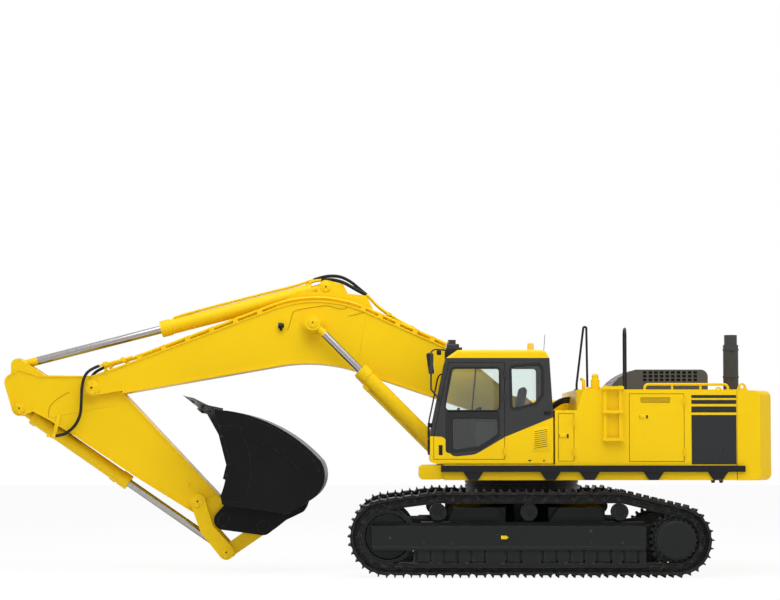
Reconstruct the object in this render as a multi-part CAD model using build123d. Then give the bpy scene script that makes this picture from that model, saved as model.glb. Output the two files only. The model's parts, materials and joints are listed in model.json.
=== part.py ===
from build123d import *
import math
import os

# Crawler excavator of the sixty tonne class, in millimetres.
# X points forward, Y to the machine's left and Z up. The origin is on the ground, on the swing axis.
# A point in the side view is (x, z). A point on the boom, arm or bucket is (u, v), with u along the line
# from its root pin to its far pin and v to the left of that line.

# Running clearances
pin_gap = 0.3
seat_gap = 0.3
move_gap = 6.0

# Tracks
track_gauge = 3300.0
shoe_width = 600.0
shoe_count = 49
grouser_height = 37.0
shoe_plate = 18.0
link_height = 150.0
link_inner = 60.0
link_outer = 130.0
idler_x = 2061.0
idler_tread_r = 388.0
idler_half_width = 105.0
sprocket_x = -2166.0
sprocket_root_r = 338.0
sprocket_half_width = 40.0
sprocket_tooth = 50.0
sprocket_tooth_count = 24
final_drive_r = 312.0
carrier_r = 125.0
carrier_axis_z = 955.0
carrier_middle_x = -13.0
carrier_pitch = 1340.0
carrier_count = 3
carrier_half_width = 105.0
roller_r = 106.0
roller_flange = 20.0
roller_shaft_r = 45.0
roller_front_x = 1542.0
roller_pitch = 398.0
roller_front_count = 3
roller_middle_x = 220.0
roller_rear_x = -305.0
roller_rear_count = 4

# Track frames
frame_front_x = 2295.0
frame_rear_x = -1718.0
frame_low_z = 446.0
frame_top_z = 805.0
frame_half_width = 205.0
frame_shoulder = 55.0
frame_wall = 30.0
fork_half_gap = 130.0
fork_depth = 720.0
guard_low_z = 140.0
guard_thick = 30.0
guard_inner = 150.0
guard_window = 245.0

# Car body and swing bearing
leg_spread = 735.0
leg_end_half = 415.0
leg_root_half = 330.0
saddle_top_z = 1010.0
car_low_z = 640.0
turret_r = 860.0
turret_wall = 60.0
bearing_r = 874.0
bearing_bore_r = 620.0
bearing_low_z = 1290.0

# Upper frame
deck_low_z = 1417.0
deck_top_z = 1650.0
deck_plate = 40.0
upper_half_width = 1590.0
web_inner = 345.0
web_thick = 35.0
ear_thick = 32.0
frame_nose_x = 1300.0
side_beam = 90.0
deck_front_x = 1240.0
front_step_reach = 362.0
rail_low_z = 1539.0
rail_high_z = 1634.0
rail_depth = 50.0
rail_front_x = 1279.0
rail_rear_x = -3100.0
rail_bracket_xs = (801.0, -341.0, -919.0, -1868.0, -2817.0)
outrigger_xs = (590.0, -500.0, -1700.0, -2900.0)

# Boom, arm and bucket: lengths between pins, angles at rest, and pins
boom_length = 6502.0
arm_length = 2874.0
ear_reach = 617.0
boom_angle = 3.2
arm_angle = -135.1
bucket_angle = -170.6
boom_foot = (125.0, 2450.0)
boom_ram_base = (1099.0, 1697.0)
boom_ram_on_boom = (3160.0, 1182.0)
arm_ram_on_boom = (3004.0, 1766.0)
arm_ram_on_arm = (-1069.0, 570.0)
bucket_ram_on_arm = (-573.0, 1013.0)
guide_from_tip = (485.0, 76.0)
link_on_bucket = (124.0, 475.0)

# Boom
boom_back = (823.0, 827.0)
boom_crest = (3088.0, 1692.0)
boom_crest_r = 1900.0
boom_front_drop = (407.0, 358.0)
boom_belly = (3027.0, 641.0)
boom_belly_r = 2500.0
boom_half_width = 330.0
boom_web_face = 315.0
boom_wall = 25.0
boom_foot_r = 200.0
boom_nose_r = 125.0
fork_slot_half = 255.0
fork_slot_depth = 600.0
boom_boss_r = 165.0
boom_sole_end = 474.0
boom_sole = 46.0
saddle_inner = 140.0
saddle_thick = 40.0
foot_pin_r = 80.0
arm_pin_r = 75.0
pipe_r = 22.0
pipe_y = 235.0
pipe_rise = 48.0
pipe_clamp_count = 6

# Arm
arm_half_width = 245.0
arm_web_face = 232.0
arm_wall = 25.0
arm_tip_half_width = 220.0
arm_tip_r = 150.0
arm_boss_r = 190.0
ram_channel_half = 86.0

# Rams
boom_ram_y = 497.0
boom_ram = dict(
    barrel_r=112.0, rod_r=58.0, barrel=1960.0, eye_r=125.0, half_width=75.0, rod_in=885.0, pipe_turn=180.0
)
arm_ram = dict(
    barrel_r=118.0, rod_r=65.0, barrel=2640.0, eye_r=110.0, half_width=75.0, rod_in=420.0, pipe_turn=45.0
)
bucket_ram = dict(
    barrel_r=108.0, rod_r=62.0, barrel=2030.0, eye_r=110.0, half_width=75.0, rod_in=300.0, pipe_turn=45.0
)
ram_pin_r = 55.0
ram_bore_r = 90.0
ram_gland = 120.0
ram_head = 12.0

# Bucket and its linkage
bucket_half_width = 930.0
bucket_side = 30.0
bucket_wrap = 28.0
bucket_ear_inner = 232.0
bucket_ear_thick = 55.0
tooth_count = 5
tooth_width = 120.0
guide_inner = 300.0
guide_thick = 45.0
guide_r = 115.0
guide_bow = 70.0
link_r = 105.0
bucket_pin_r = 60.0

# Cab
cab_width = 965.0
cab_wall = 60.0
cab_low_z = 1662.0
cab_front_x = 1439.0
cab_break_z = 2070.0
cab_top_front_x = 1201.0
cab_eave_z = 3226.0
cab_roof_z = 3345.0
cab_rear_x = -385.0
cab_rear_top_x = -333.0
cab_pad = 130.0
door_gap = 8.0
door_rear_x = 330.0
door_low_z = 1722.0
door_high_z = 3165.0
pillar = 50.0
window_margin = 95.0
glass_thick = 8.0
glass_set = 20.0
glass_gap = 0.4

# Hinges of doors and lids
hinge_r = 14.0
hinge_proud = 16.0
hinge_leaf = 40.0
hinge_knuckle = 60.0

# Engine housing
house_front_x = -741.0
house_top_z = 2758.0
house_rear_x = -3110.0
house_corner = (90.0, 200.0, 316.0)
panel = 35.0
door_frame = 45.0
bay_front_x = -412.0
bay_top_z = 2451.0
bay_inner_y = 1000.0
service_door_front_x = -1509.0
service_door_rear_x = -2328.0
vent_size = (440.0, 85.0)
vent_z = 2600.0
hood_front_x = -1275.0
hood_rear_x = -2785.0
hood_half_width = 820.0
hood_top_z = 3077.0
hood_wall = 22.0
engine_half_width = 650.0
engine_top_z = 2450.0
engine_wall = 120.0
grille_columns = 10
grille_rows = 3
grille_hole = (56.0, 40.0)
grille_pitch = (85.0, 56.0)
grille_front_x = -1830.0
grille_top_z = 3032.0
stack_x = -3144.0
stack_y = 750.0
stack_r = 115.0
stack_top_z = 3602.0
tank_top_z = 2640.0
tank_front_x = 560.0
tank_inner_y = 700.0
box_top_z = 2150.0
box_step_z = 1900.0
box_step_x = 930.0

# Ladder and hand rails
ladder_front_x = -1124.0
ladder_rear_x = -1409.0
ladder_low_z = 1980.0
ladder_high_z = 2812.0
ladder_standoff = 50.0
rung_zs = (2021.0, 2429.0, 2782.0)
rail_tube_r = 17.0
loop_y = 1200.0
loop_top_z = 3704.0
hood_rail_z = 2838.0

# Counterweight
weight_rear_x = -3785.0
weight_side_x = -3640.0
weight_corner = 240.0
weight_low_z = 1414.0
weight_top_z = 2746.0
weight_edge_r = 90.0
weight_recess_x = -3330.0
weight_recess_half = 1180.0
lift_hole_r = 28.0
lift_lug_r = 55.0
lift_lug_y = 1250.0
lift_lug_thick = 50.0
lift_eye_x = -3237.0
lift_eye_rise = 60.0


# Places worked out from the driving sizes

def placed_on(origin, degrees, point):
    turn = math.radians(degrees)
    u, v = point
    return (
        origin[0] + u * math.cos(turn) - v * math.sin(turn),
        origin[1] + u * math.sin(turn) + v * math.cos(turn),
    )


arm_pin = placed_on(boom_foot, boom_angle, (boom_length, 0))
boom_ram_eye = placed_on(boom_foot, boom_angle, boom_ram_on_boom)
arm_ram_base = placed_on(boom_foot, boom_angle, arm_ram_on_boom)
arm_ram_eye = placed_on(arm_pin, arm_angle, arm_ram_on_arm)
bucket_ram_base = placed_on(arm_pin, arm_angle, bucket_ram_on_arm)
guide_pin = placed_on(arm_pin, arm_angle, (arm_length - guide_from_tip[0], guide_from_tip[1]))
bucket_pin = placed_on(arm_pin, arm_angle, (arm_length, 0))
ear_pin = placed_on(bucket_pin, bucket_angle, (ear_reach, 0))
link_pin = placed_on(bucket_pin, bucket_angle, link_on_bucket)

track_depth = link_height + shoe_plate + grouser_height
idler_z = idler_tread_r + track_depth
sprocket_z = sprocket_root_r + track_depth
roller_axis_z = track_depth + roller_r + seat_gap
carrier_xs = [carrier_middle_x + carrier_pitch * (1 - index) for index in range(carrier_count)]
roller_xs = [roller_front_x - roller_pitch * index for index in range(roller_front_count)]
roller_xs += [roller_middle_x]
roller_xs += [roller_rear_x - roller_pitch * index for index in range(roller_rear_count)]
ram_ear_in = boom_ram_y + boom_ram["half_width"] + move_gap
ram_ear_out = ram_ear_in + ear_thick
web_outer = web_inner + web_thick
cab_left = upper_half_width
cab_right = cab_left - cab_width
cab_middle = (cab_left + cab_right) / 2
frame_tail_x = weight_recess_x + seat_gap
door_hinge_x = door_rear_x + door_gap / 2
bay_hinge_x = house_front_x + door_frame + door_gap / 2
service_hinge_x = service_door_rear_x + door_gap / 2
hinge_y = upper_half_width + hinge_proud
hood_hinge = (hood_front_x + hinge_proud, house_top_z + hinge_proud)


# Drawing helpers

def plate(face, y_low, y_high):
    return extrude(Plane.XZ.offset(-y_high) * face, amount=y_high - y_low)


def slab(face, z_low, z_high):
    return extrude(Plane.XY.offset(z_low) * face, amount=z_high - z_low)


def disc(point, radius, y_low, y_high):
    return plate(Pos(*point) * Circle(radius), y_low, y_high)


def post(x, y, radius, z_low, z_high):
    return slab(Pos(x, y) * Circle(radius), z_low, z_high)


def block(x_low, x_high, y_low, y_high, z_low, z_high):
    size = Box(x_high - x_low, y_high - y_low, z_high - z_low)
    return Pos((x_low + x_high) / 2, (y_low + y_high) / 2, (z_low + z_high) / 2) * size


def outline(*points):
    return make_face(Polyline(*points, close=True))


def rounded(face, point, radius):
    corner = face.vertices().sort_by_distance(point)[0]
    return fillet(corner, radius)


def mirrored(solid):
    return mirror(solid, about=Plane.XZ)


def both(solid):
    return solid + mirrored(solid)


def group(*shapes):
    return Compound(children=[solid for shape in shapes for solid in shape.solids()])


def pair(solid):
    return group(solid, mirrored(solid))


def turned(profile, centre, y):
    """Wheel about a Y axis through (x, z), from a face drawn as (distance along Y, radius)."""
    wheel = revolve(Plane.YZ * profile, Axis.Y)
    return Pos(centre[0], y, centre[1]) * wheel


def tube(radius, bend, *points):
    path = FilletPolyline(*points, radius=bend)
    return sweep(Plane(origin=path @ 0, z_dir=path % 0) * Circle(radius), path)


def heading(start, end):
    return math.degrees(math.atan2(end[1] - start[1], end[0] - start[0]))


def span(start, end):
    return math.hypot(end[0] - start[0], end[1] - start[1])


def belt(*circles):
    """Face inside a tight belt round circles (x, z, r), given counter-clockwise. A radius of 0 is a corner."""
    count = len(circles)
    tangents = []
    for index in range(count):
        x1, z1, r1 = circles[index]
        x2, z2, r2 = circles[(index + 1) % count]
        length = math.hypot(x2 - x1, z2 - z1)
        ux, uz = (x2 - x1) / length, (z2 - z1) / length
        along = (r1 - r2) / length
        side = math.sqrt(1 - along * along)
        nx, nz = ux * along + uz * side, uz * along - ux * side
        tangents.append(((x1 + r1 * nx, z1 + r1 * nz), (x2 + r2 * nx, z2 + r2 * nz)))
    edges = []
    for index in range(count):
        x, z, r = circles[index]
        arrive, leave = tangents[index - 1][1], tangents[index][0]
        if r > 0 and math.dist(arrive, leave) > 0.01:
            start = math.atan2(arrive[1] - z, arrive[0] - x)
            sweep_angle = (math.atan2(leave[1] - z, leave[0] - x) - start) % (2 * math.pi)
            middle = start + sweep_angle / 2
            edges.append(ThreePointArc(arrive, (x + r * math.cos(middle), z + r * math.sin(middle)), leave))
        else:
            leave = arrive
        edges.append(Line(leave, tangents[index][1]))
    return make_face(edges)


def on_boom(face):
    return Pos(*boom_foot) * Rot(0, 0, boom_angle) * face


def on_arm(face):
    return Pos(*arm_pin) * Rot(0, 0, arm_angle) * face


def on_bucket(face):
    return Pos(*bucket_pin) * Rot(0, 0, bucket_angle) * face


# Tracks and undercarriage

def track_loop(offset_out):
    wheels = [
        (sprocket_x, sprocket_z, sprocket_root_r + offset_out),
        (idler_x, idler_z, idler_tread_r + offset_out),
    ]
    wheels += [(x, carrier_axis_z, carrier_r + offset_out) for x in carrier_xs]
    return belt(*wheels)


def shoe_outline():
    """Outer edge of the track: each shoe is a flat plate with two grousers, square to the link below it."""
    path = track_loop(link_height).wire()
    pitch = path.length / shoe_count
    tip = shoe_plate + grouser_height
    shoe = [
        (-0.47, 0.0), (-0.38, shoe_plate), (-0.34, tip), (-0.29, tip), (-0.25, shoe_plate), (0.14, shoe_plate),
        (0.18, tip), (0.23, tip), (0.27, shoe_plate), (0.47, 0.0),
    ]
    centre = Vector((idler_x + sprocket_x) / 2, (idler_z + carrier_axis_z) / 2)
    points = []
    for index in range(shoe_count):
        spot, way = path.position_at(index / shoe_count), path.tangent_at(index / shoe_count)
        out = Vector(way.Y, -way.X)
        if out.dot(spot - centre) < 0:
            out = out * -1
        points += [spot + way * (u * pitch) + out * v for u, v in shoe]
    ground = Pos(0, track_depth * 10) * Rectangle(9000, track_depth * 20)
    return outline(*[(point.X, point.Y) for point in points]) & ground


def track(side):
    middle = side * track_gauge / 2
    shoes = shoe_outline() - track_loop(link_height - shoe_plate)
    band = plate(shoes, middle - shoe_width / 2, middle + shoe_width / 2)
    rails = track_loop(link_height - shoe_plate / 2) - track_loop(seat_gap)
    for low, high in ((-link_outer, -link_inner), (link_inner, link_outer)):
        band += plate(rails, middle + low, middle + high)
    return band


def track_frame(side):
    middle = side * track_gauge / 2
    inner = side * (track_gauge / 2 - frame_half_width)
    wide = frame_half_width
    ridge = wide - 2 * frame_shoulder
    section = outline(
        (middle - wide, frame_low_z), (middle + wide, frame_low_z),
        (middle + wide, frame_top_z - frame_shoulder), (middle + ridge, frame_top_z),
        (middle - ridge, frame_top_z), (middle - wide, frame_top_z - frame_shoulder),
    )
    hollow = offset(section, amount=-frame_wall, kind=Kind.INTERSECTION)
    slot_x = frame_front_x - fork_depth
    beam = extrude(Plane.YZ.offset(frame_rear_x) * section, amount=frame_front_x - frame_rear_x)
    beam -= extrude(Plane.YZ.offset(frame_rear_x + 60) * hollow, amount=slot_x - frame_rear_x - 120)
    beam -= block(
        slot_x, frame_front_x + 1, middle - fork_half_gap, middle + fork_half_gap,
        frame_low_z - 1, frame_top_z + 1,
    )
    guard_front, guard_rear = roller_xs[0] + guard_window / 2 + 20, frame_rear_x
    for sign in (-1, 1):
        near, far = sorted((middle + sign * guard_inner, middle + sign * (guard_inner + guard_thick)))
        guard = block(guard_rear, guard_front, near, far, guard_low_z, frame_low_z + 1)
        for x in roller_xs:
            half = guard_window / 2
            guard -= block(x - half, x + half, near - 1, far + 1, guard_low_z + 70, frame_low_z - 40)
            guard += block(x - 75, x + 75, near, far, roller_axis_z - 75, frame_low_z + 1)
        beam += guard
    for x in carrier_xs:
        near, far = sorted((inner, inner + side * 45))
        beam += block(x - 70, x + 70, near, far, frame_top_z - frame_shoulder - 40, carrier_axis_z + 60)
    hub = belt(
        (frame_rear_x + 40, frame_low_z + 5, 0), (frame_rear_x + 40, frame_top_z - 60, 0),
        (sprocket_x, sprocket_z, 250),
    )
    near, far = sorted((inner, inner + side * 60))
    return beam + plate(hub, near, far)


def rollers(side):
    middle = side * track_gauge / 2
    spool = outline(
        (0, 0), (guard_inner, 0), (guard_inner, roller_shaft_r), (146, roller_shaft_r),
        (146, roller_r + roller_flange), (link_outer + 4, roller_r + roller_flange), (link_outer + 2, roller_r),
        (link_inner - 5, roller_r), (link_inner - 20, 75), (0, 75),
    )
    wheels = []
    for x in roller_xs:
        half = turned(spool, (x, roller_axis_z), 0)
        wheels.append(Pos(0, middle, 0) * both(half))
    inner = side * (track_gauge / 2 - frame_half_width + 45)
    for x in carrier_xs:
        wheel = disc((x, carrier_axis_z), carrier_r, middle - carrier_half_width, middle + carrier_half_width)
        rim = middle + side * carrier_half_width
        wheel -= disc((x, carrier_axis_z), 70, rim - 25, rim + 25)
        near, far = sorted((inner, middle))
        wheels.append(wheel + disc((x, carrier_axis_z), roller_shaft_r, near, far))
    return group(*wheels)


def idler(side):
    middle = side * track_gauge / 2
    half = outline(
        (0, 0), (fork_half_gap, 0), (fork_half_gap, 80), (idler_half_width, 90), (idler_half_width, 150),
        (35, 170), (35, 325), (idler_half_width, 345), (idler_half_width, idler_tread_r),
        (link_inner - 8, idler_tread_r), (link_inner - 14, idler_tread_r + 25), (0, idler_tread_r + 25),
    )
    return Pos(0, middle, 0) * both(turned(half, (idler_x, idler_z), 0))


def sprocket(side):
    middle = side * track_gauge / 2
    inner = 60 - frame_half_width
    cover = outline(
        (inner, 0), (inner, final_drive_r - 20), (60, final_drive_r), (150, final_drive_r),
        (165, final_drive_r - 20), (frame_half_width, final_drive_r - 25),
        (frame_half_width + 12, final_drive_r - 60), (frame_half_width + 12, 0),
    )
    drive = turned(cover, (sprocket_x, sprocket_z), 0)
    if side < 0:
        drive = mirrored(drive)
    teeth = []
    step = 360 / sprocket_tooth_count
    for index in range(sprocket_tooth_count):
        for share, rise in ((0.0, 0.0), (0.3, 0.0), (0.5, sprocket_tooth), (0.8, sprocket_tooth)):
            corner = (sprocket_root_r + rise, 0)
            teeth.append(placed_on((sprocket_x, sprocket_z), (index + share) * step, corner))
    rim = plate(outline(*teeth), -sprocket_half_width, sprocket_half_width)
    return Pos(0, middle, 0) * (drive + rim)


def track_wheels(side):
    return group(rollers(side), idler(side), sprocket(side))


def car_body():
    reach = track_gauge / 2 - frame_half_width
    body = post(0, 0, turret_r, car_low_z, bearing_low_z)
    for x_sign in (-1, 1):
        root = Plane.XZ.offset(-500) * Pos(x_sign * 400, 930) * Rectangle(2 * leg_root_half, 560)
        end = Plane.XZ.offset(-reach) * Pos(x_sign * leg_spread, 825) * Rectangle(2 * leg_end_half, 370)
        body += both(loft([root, end]))
        near, far = x_sign * (leg_spread - leg_end_half), x_sign * (leg_spread + leg_end_half)
        saddle = outline(
            (near, frame_top_z), (far, frame_top_z),
            (far - x_sign * 60, saddle_top_z), (near + x_sign * 150, saddle_top_z),
        )
        body += both(plate(saddle, reach - 60, track_gauge / 2 - 90))
    body -= post(0, 0, turret_r - turret_wall, car_low_z + 60, bearing_low_z + 1)
    return body - post(0, 0, 240, car_low_z - 1, car_low_z + 160)


def swing_bearing():
    ring = slab(Circle(bearing_r) - Circle(bearing_bore_r), bearing_low_z, deck_low_z - seat_gap)
    groove = slab(Circle(bearing_r + 1) - Circle(bearing_r - 18), bearing_low_z + 45, bearing_low_z + 62)
    return ring - groove


# Upper frame

def revolving_frame():
    floor = block(frame_tail_x, frame_nose_x, -web_outer, web_outer, deck_low_z, deck_low_z + deck_plate)
    frame = floor + post(0, 0, bearing_r + 40, deck_low_z, deck_low_z + deck_plate)
    frame -= post(0, 0, 360, deck_low_z - 1, deck_low_z + deck_plate + 1)
    foot_x, foot_z = boom_foot
    ram_x, ram_z = boom_ram_base
    web = outline(
        (frame_nose_x, deck_low_z), (frame_nose_x, ram_z + 40), (ram_x - 60, ram_z + 150),
        (foot_x + 330, foot_z + 40), (foot_x + 150, foot_z + 230), (foot_x - 180, foot_z + 230),
        (foot_x - 420, foot_z - 60), (house_front_x + 60, deck_top_z + 250),
        (house_front_x + 10, deck_top_z - 40), (frame_tail_x, deck_top_z - 40), (frame_tail_x, deck_low_z),
    )
    for corner in ((foot_x + 150, foot_z + 230), (foot_x - 180, foot_z + 230), (ram_x - 60, ram_z + 150)):
        web = rounded(web, corner, 120)
    web = rounded(web, (house_front_x + 60, deck_top_z + 250), 150)
    frame += both(plate(web, web_inner, web_outer))
    ear = belt((ram_x, ram_z, 150), (ram_x - 300, deck_low_z + 20, 0), (ram_x + 160, deck_low_z + 20, 0))
    frame += both(plate(ear, ram_ear_in, ram_ear_out))
    frame += both(block(ram_x - 330, ram_x + 190, web_inner, ram_ear_out, deck_low_z, deck_low_z + deck_plate))
    frame += both(disc(boom_ram_base, ram_pin_r, web_inner, ram_ear_out))
    return frame + disc(boom_foot, foot_pin_r, -web_inner, web_inner)


def side_decks():
    outer = upper_half_width
    rear_x = house_rear_x + 10
    deck = block(rear_x, deck_front_x, web_outer, outer, deck_top_z - deck_plate, deck_top_z)
    deck -= block(
        boom_ram_base[0] - 450, deck_front_x + 1, web_outer - 1, ram_ear_out + 5, deck_low_z, deck_top_z + 1
    )
    deck += block(rear_x, deck_front_x, outer - side_beam, outer, deck_low_z, deck_top_z - deck_plate / 2)
    for x in outrigger_xs:
        deck += block(
            x - 50, x + 50, web_outer, outer - side_beam / 2, deck_low_z + 50, deck_top_z - deck_plate / 2
        )
    return pair(deck)


def step_rail():
    near = upper_half_width
    rail = block(rail_rear_x, rail_front_x, near, near + rail_depth, rail_low_z, rail_high_z)
    drop = rail_low_z - 118
    for x in rail_bracket_xs:
        bracket = outline((x - 150, rail_low_z), (x + 150, rail_low_z), (x + 68, drop), (x - 68, drop))
        rail += plate(bracket, near, near + rail_depth - 15)
    return pair(rail)


def front_step():
    reach = deck_front_x + front_step_reach
    step = block(deck_front_x, reach, cab_right + 135, upper_half_width - 20, deck_low_z + 9, deck_top_z - 10)
    return fillet(step.edges().filter_by(Axis.Y), 60)


def counterweight():
    cut_x = weight_side_x + 190
    cut_y = upper_half_width - weight_corner
    half = make_face([
        ThreePointArc((weight_rear_x, 0), (weight_rear_x + 37, cut_y / 2), (weight_side_x, cut_y)),
        Polyline(
            (weight_side_x, cut_y), (cut_x, upper_half_width), (house_rear_x, upper_half_width),
            (house_rear_x, weight_recess_half), (weight_recess_x, weight_recess_half), (weight_recess_x, 0),
            (weight_rear_x, 0),
        ),
    ])
    body = both(slab(half, weight_low_z, weight_top_z))
    rim = body.edges().group_by(Axis.Z)
    back = [edge for group in (rim[0], rim[-1]) for edge in group if edge.center().X < cut_x - 5]
    body = fillet(back, weight_edge_r)
    eye_z = weight_top_z + lift_eye_rise
    foot_z = weight_top_z - 5
    lug = belt((lift_eye_x, eye_z, lift_lug_r), (lift_eye_x - 85, foot_z, 0), (lift_eye_x + 85, foot_z, 0))
    lug -= Pos(lift_eye_x, eye_z) * Circle(lift_hole_r)
    return body + both(plate(lug, lift_lug_y - lift_lug_thick / 2, lift_lug_y + lift_lug_thick / 2))


# Doors, housing and lids

def knuckle(x, y, z):
    """Half of an upright hinge: a barrel on the hinge line with a strap that reaches towards +X."""
    barrel = post(x, y, hinge_r, z, z + hinge_knuckle)
    strap = block(x, x + hinge_leaf, y - hinge_proud - 1, y - hinge_proud / 2, z, z + hinge_knuckle)
    return barrel + strap


def fixed_hinges(x, z_low, z_high):
    pins = Part()
    for z in (z_low + 120, z_high - 240):
        pins += mirror(knuckle(0, hinge_y, z), about=Plane.YZ)
    return Pos(x, 0, 0) * pins


def leaf_hinges(x, z_low, z_high):
    pins = Part()
    for z in (z_low + 120, z_high - 240):
        pins += knuckle(x, hinge_y, z + hinge_knuckle + 1)
    return pins


def house_plan(inset):
    side = upper_half_width - inset
    rear = house_rear_x + seat_gap + inset
    bump = weight_recess_half - seat_gap - inset
    end = weight_recess_x + seat_gap + inset
    front = house_front_x - inset
    return outline(
        (front, side), (rear, side), (rear, bump), (end, bump),
        (end, -bump), (rear, -bump), (rear, -side), (front, -side),
    )


def corner_facet(inset):
    """All that lies outside the slanting facet on the housing's front left corner."""
    run, width, drop = house_corner
    along_x = Vector(-run, 0, drop)
    along_y = Vector(0, -width, drop)
    facet = Plane(
        origin=(house_front_x, upper_half_width, house_top_z - drop), x_dir=along_x, z_dir=along_x.cross(along_y)
    )
    return extrude(facet.offset(-inset) * Rectangle(1500, 1500), amount=800)


def engine_house():
    shell = slab(house_plan(0), deck_top_z, house_top_z) - both(corner_facet(0))
    shell -= slab(house_plan(panel), deck_top_z - 1, house_top_z - panel) - both(corner_facet(panel))
    wall = upper_half_width - panel - 1
    door = block(
        service_door_rear_x, service_door_front_x, wall, upper_half_width + 1, deck_top_z + 40, house_top_z - 60
    )
    shell -= both(door)
    rim = 70
    lid = Rectangle(hood_front_x - hood_rear_x - 2 * rim, 2 * hood_half_width - 2 * rim)
    shell -= slab(Pos((hood_front_x + hood_rear_x) / 2, 0) * lid, house_top_z - panel - 1, house_top_z + 1)
    shell -= post(stack_x, stack_y, stack_r + seat_gap, house_top_z - panel - 1, house_top_z + 1)
    shell += both(fixed_hinges(service_hinge_x, deck_top_z, house_top_z))
    for y in (-500, 500):
        shell += disc(hood_hinge, hinge_r, y, y + hinge_knuckle)
        leaf_x = hood_hinge[0]
        shell += block(leaf_x, leaf_x + hinge_leaf, y, y + hinge_knuckle, house_top_z - 1, house_top_z + 8)
    return shell


def exhaust_stack():
    collar = stack_top_z - 150
    pipe = post(stack_x, stack_y, stack_r, house_top_z - 400, collar)
    pipe += post(stack_x, stack_y, stack_r - 18, collar - 1, stack_top_z)
    return pipe - post(stack_x, stack_y, stack_r - 36, stack_top_z - 250, stack_top_z + 1)


def side_bay():
    side = upper_half_width
    shell = block(house_front_x + seat_gap, bay_front_x, bay_inner_y, side, deck_top_z, bay_top_z)
    shell -= block(
        house_front_x + panel, bay_front_x - panel, bay_inner_y + panel, side - panel,
        deck_top_z - 1, bay_top_z - panel,
    )
    frame = door_frame
    shell -= block(
        house_front_x + frame, bay_front_x - frame, side - panel - 1, side + 1,
        deck_top_z + frame, bay_top_z - frame,
    )
    return shell + fixed_hinges(bay_hinge_x, deck_top_z, bay_top_z)


def bay_door():
    gap = door_frame + door_gap
    leaf = block(
        house_front_x + gap, bay_front_x - gap, upper_half_width - panel, upper_half_width,
        deck_top_z + gap, bay_top_z - gap,
    )
    return leaf + leaf_hinges(bay_hinge_x, deck_top_z, bay_top_z)


def service_door(side):
    leaf = block(
        service_door_rear_x + door_gap, service_door_front_x - door_gap,
        upper_half_width - panel, upper_half_width, deck_top_z + 48, house_top_z - 68,
    )
    leaf += leaf_hinges(service_hinge_x, deck_top_z, house_top_z)
    vent_x = service_door_front_x - 390
    vent = Pos(vent_x, vent_z) * Rectangle(*vent_size)
    leaf -= plate(fillet(vent.vertices(), 20), upper_half_width - 14, upper_half_width + 1)
    for index in range(4):
        z = vent_z - vent_size[1] / 2 + 12 + index * 20
        blade = outline((vent_x - 200, z), (vent_x + 200, z), (vent_x + 200, z + 8), (vent_x - 200, z + 8))
        leaf += plate(blade, upper_half_width - 15, upper_half_width - 4)
    return leaf if side > 0 else mirrored(leaf)


def engine_hood():
    low = house_top_z + seat_gap
    nose = (hood_front_x - 420, hood_top_z)
    brow = ThreePointArc((hood_front_x, low), (hood_front_x - 150, hood_top_z - 135), nose)
    profile = make_face([
        brow,
        Line(nose, (hood_rear_x, hood_top_z)),
        Line((hood_rear_x, hood_top_z), (hood_rear_x, low)),
        Line((hood_rear_x, low), (hood_front_x, low)),
    ])
    profile = rounded(profile, (hood_rear_x, hood_top_z), 110)
    cover = plate(profile, -hood_half_width, hood_half_width)
    inner = offset(profile, amount=-hood_wall)
    inner += outline(
        (hood_front_x - 2 * hood_wall - 20, low - 1), (hood_rear_x + hood_wall, low - 1),
        (hood_rear_x + hood_wall, low + 80), (hood_front_x - 2 * hood_wall - 20, low + 80),
    )
    cover -= plate(inner, -hood_half_width + hood_wall, hood_half_width - hood_wall)
    holes = Part()
    for column in range(grille_columns):
        for row in range(grille_rows):
            x = grille_front_x - column * grille_pitch[0]
            z = grille_top_z - row * grille_pitch[1]
            hole = Pos(x, z) * Rectangle(*grille_hole)
            holes += plate(hole, hood_half_width - hood_wall - 1, hood_half_width + 1)
    cover -= both(holes)
    for y in (-500, 500):
        near = y + hinge_knuckle + 1
        cover += disc(hood_hinge, hinge_r, near, near + hinge_knuckle)
        cover += block(
            hood_front_x - 30, hood_hinge[0], near, near + hinge_knuckle, hood_hinge[1] - 6, hood_hinge[1] + 6
        )
    return cover


def engine():
    wide, wall = engine_half_width, engine_wall
    rear, front = hood_rear_x + 85, hood_front_x - 175
    body = block(rear, front, -wide, wide, deck_top_z + seat_gap, engine_top_z)
    return body - block(rear + wall, front - wall, wall - wide, wide - wall, deck_top_z, engine_top_z - wall)


def fuel_tank():
    side = upper_half_width
    wall = 40
    tank = block(house_front_x + seat_gap, tank_front_x, -side, -tank_inner_y, deck_top_z, tank_top_z)
    tank = fillet(tank.edges().filter_by(Axis.X), 60)
    tank -= block(
        house_front_x + wall, tank_front_x - wall, wall - side, -tank_inner_y - wall,
        deck_top_z + wall, tank_top_z - wall,
    )
    neck = (tank_front_x - 260, -tank_inner_y - 450)
    tank += post(*neck, 105, tank_top_z - wall, tank_top_z + 50)
    return tank - post(*neck, 70, tank_top_z - wall - 1, tank_top_z + 51)


def tool_box():
    rear = tank_front_x + seat_gap
    wall = 40
    steps = outline(
        (rear, deck_top_z), (deck_front_x, deck_top_z), (deck_front_x, box_step_z), (box_step_x, box_step_z),
        (box_step_x, box_top_z), (rear, box_top_z),
    )
    box = plate(steps, -upper_half_width, -tank_inner_y - 60)
    inside = offset(steps, amount=-wall, kind=Kind.INTERSECTION)
    return box - plate(inside, wall - upper_half_width, -tank_inner_y - 60 - wall)


# Cab

def cab_side():
    side = outline(
        (cab_front_x, cab_low_z), (cab_front_x, cab_break_z), (cab_top_front_x, cab_eave_z),
        (cab_rear_top_x, cab_eave_z), (cab_rear_x, 2400), (cab_rear_x, cab_low_z),
    )
    side = rounded(side, (cab_front_x, cab_break_z), 160)
    return rounded(side, (cab_front_x, cab_low_z), 70)


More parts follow.
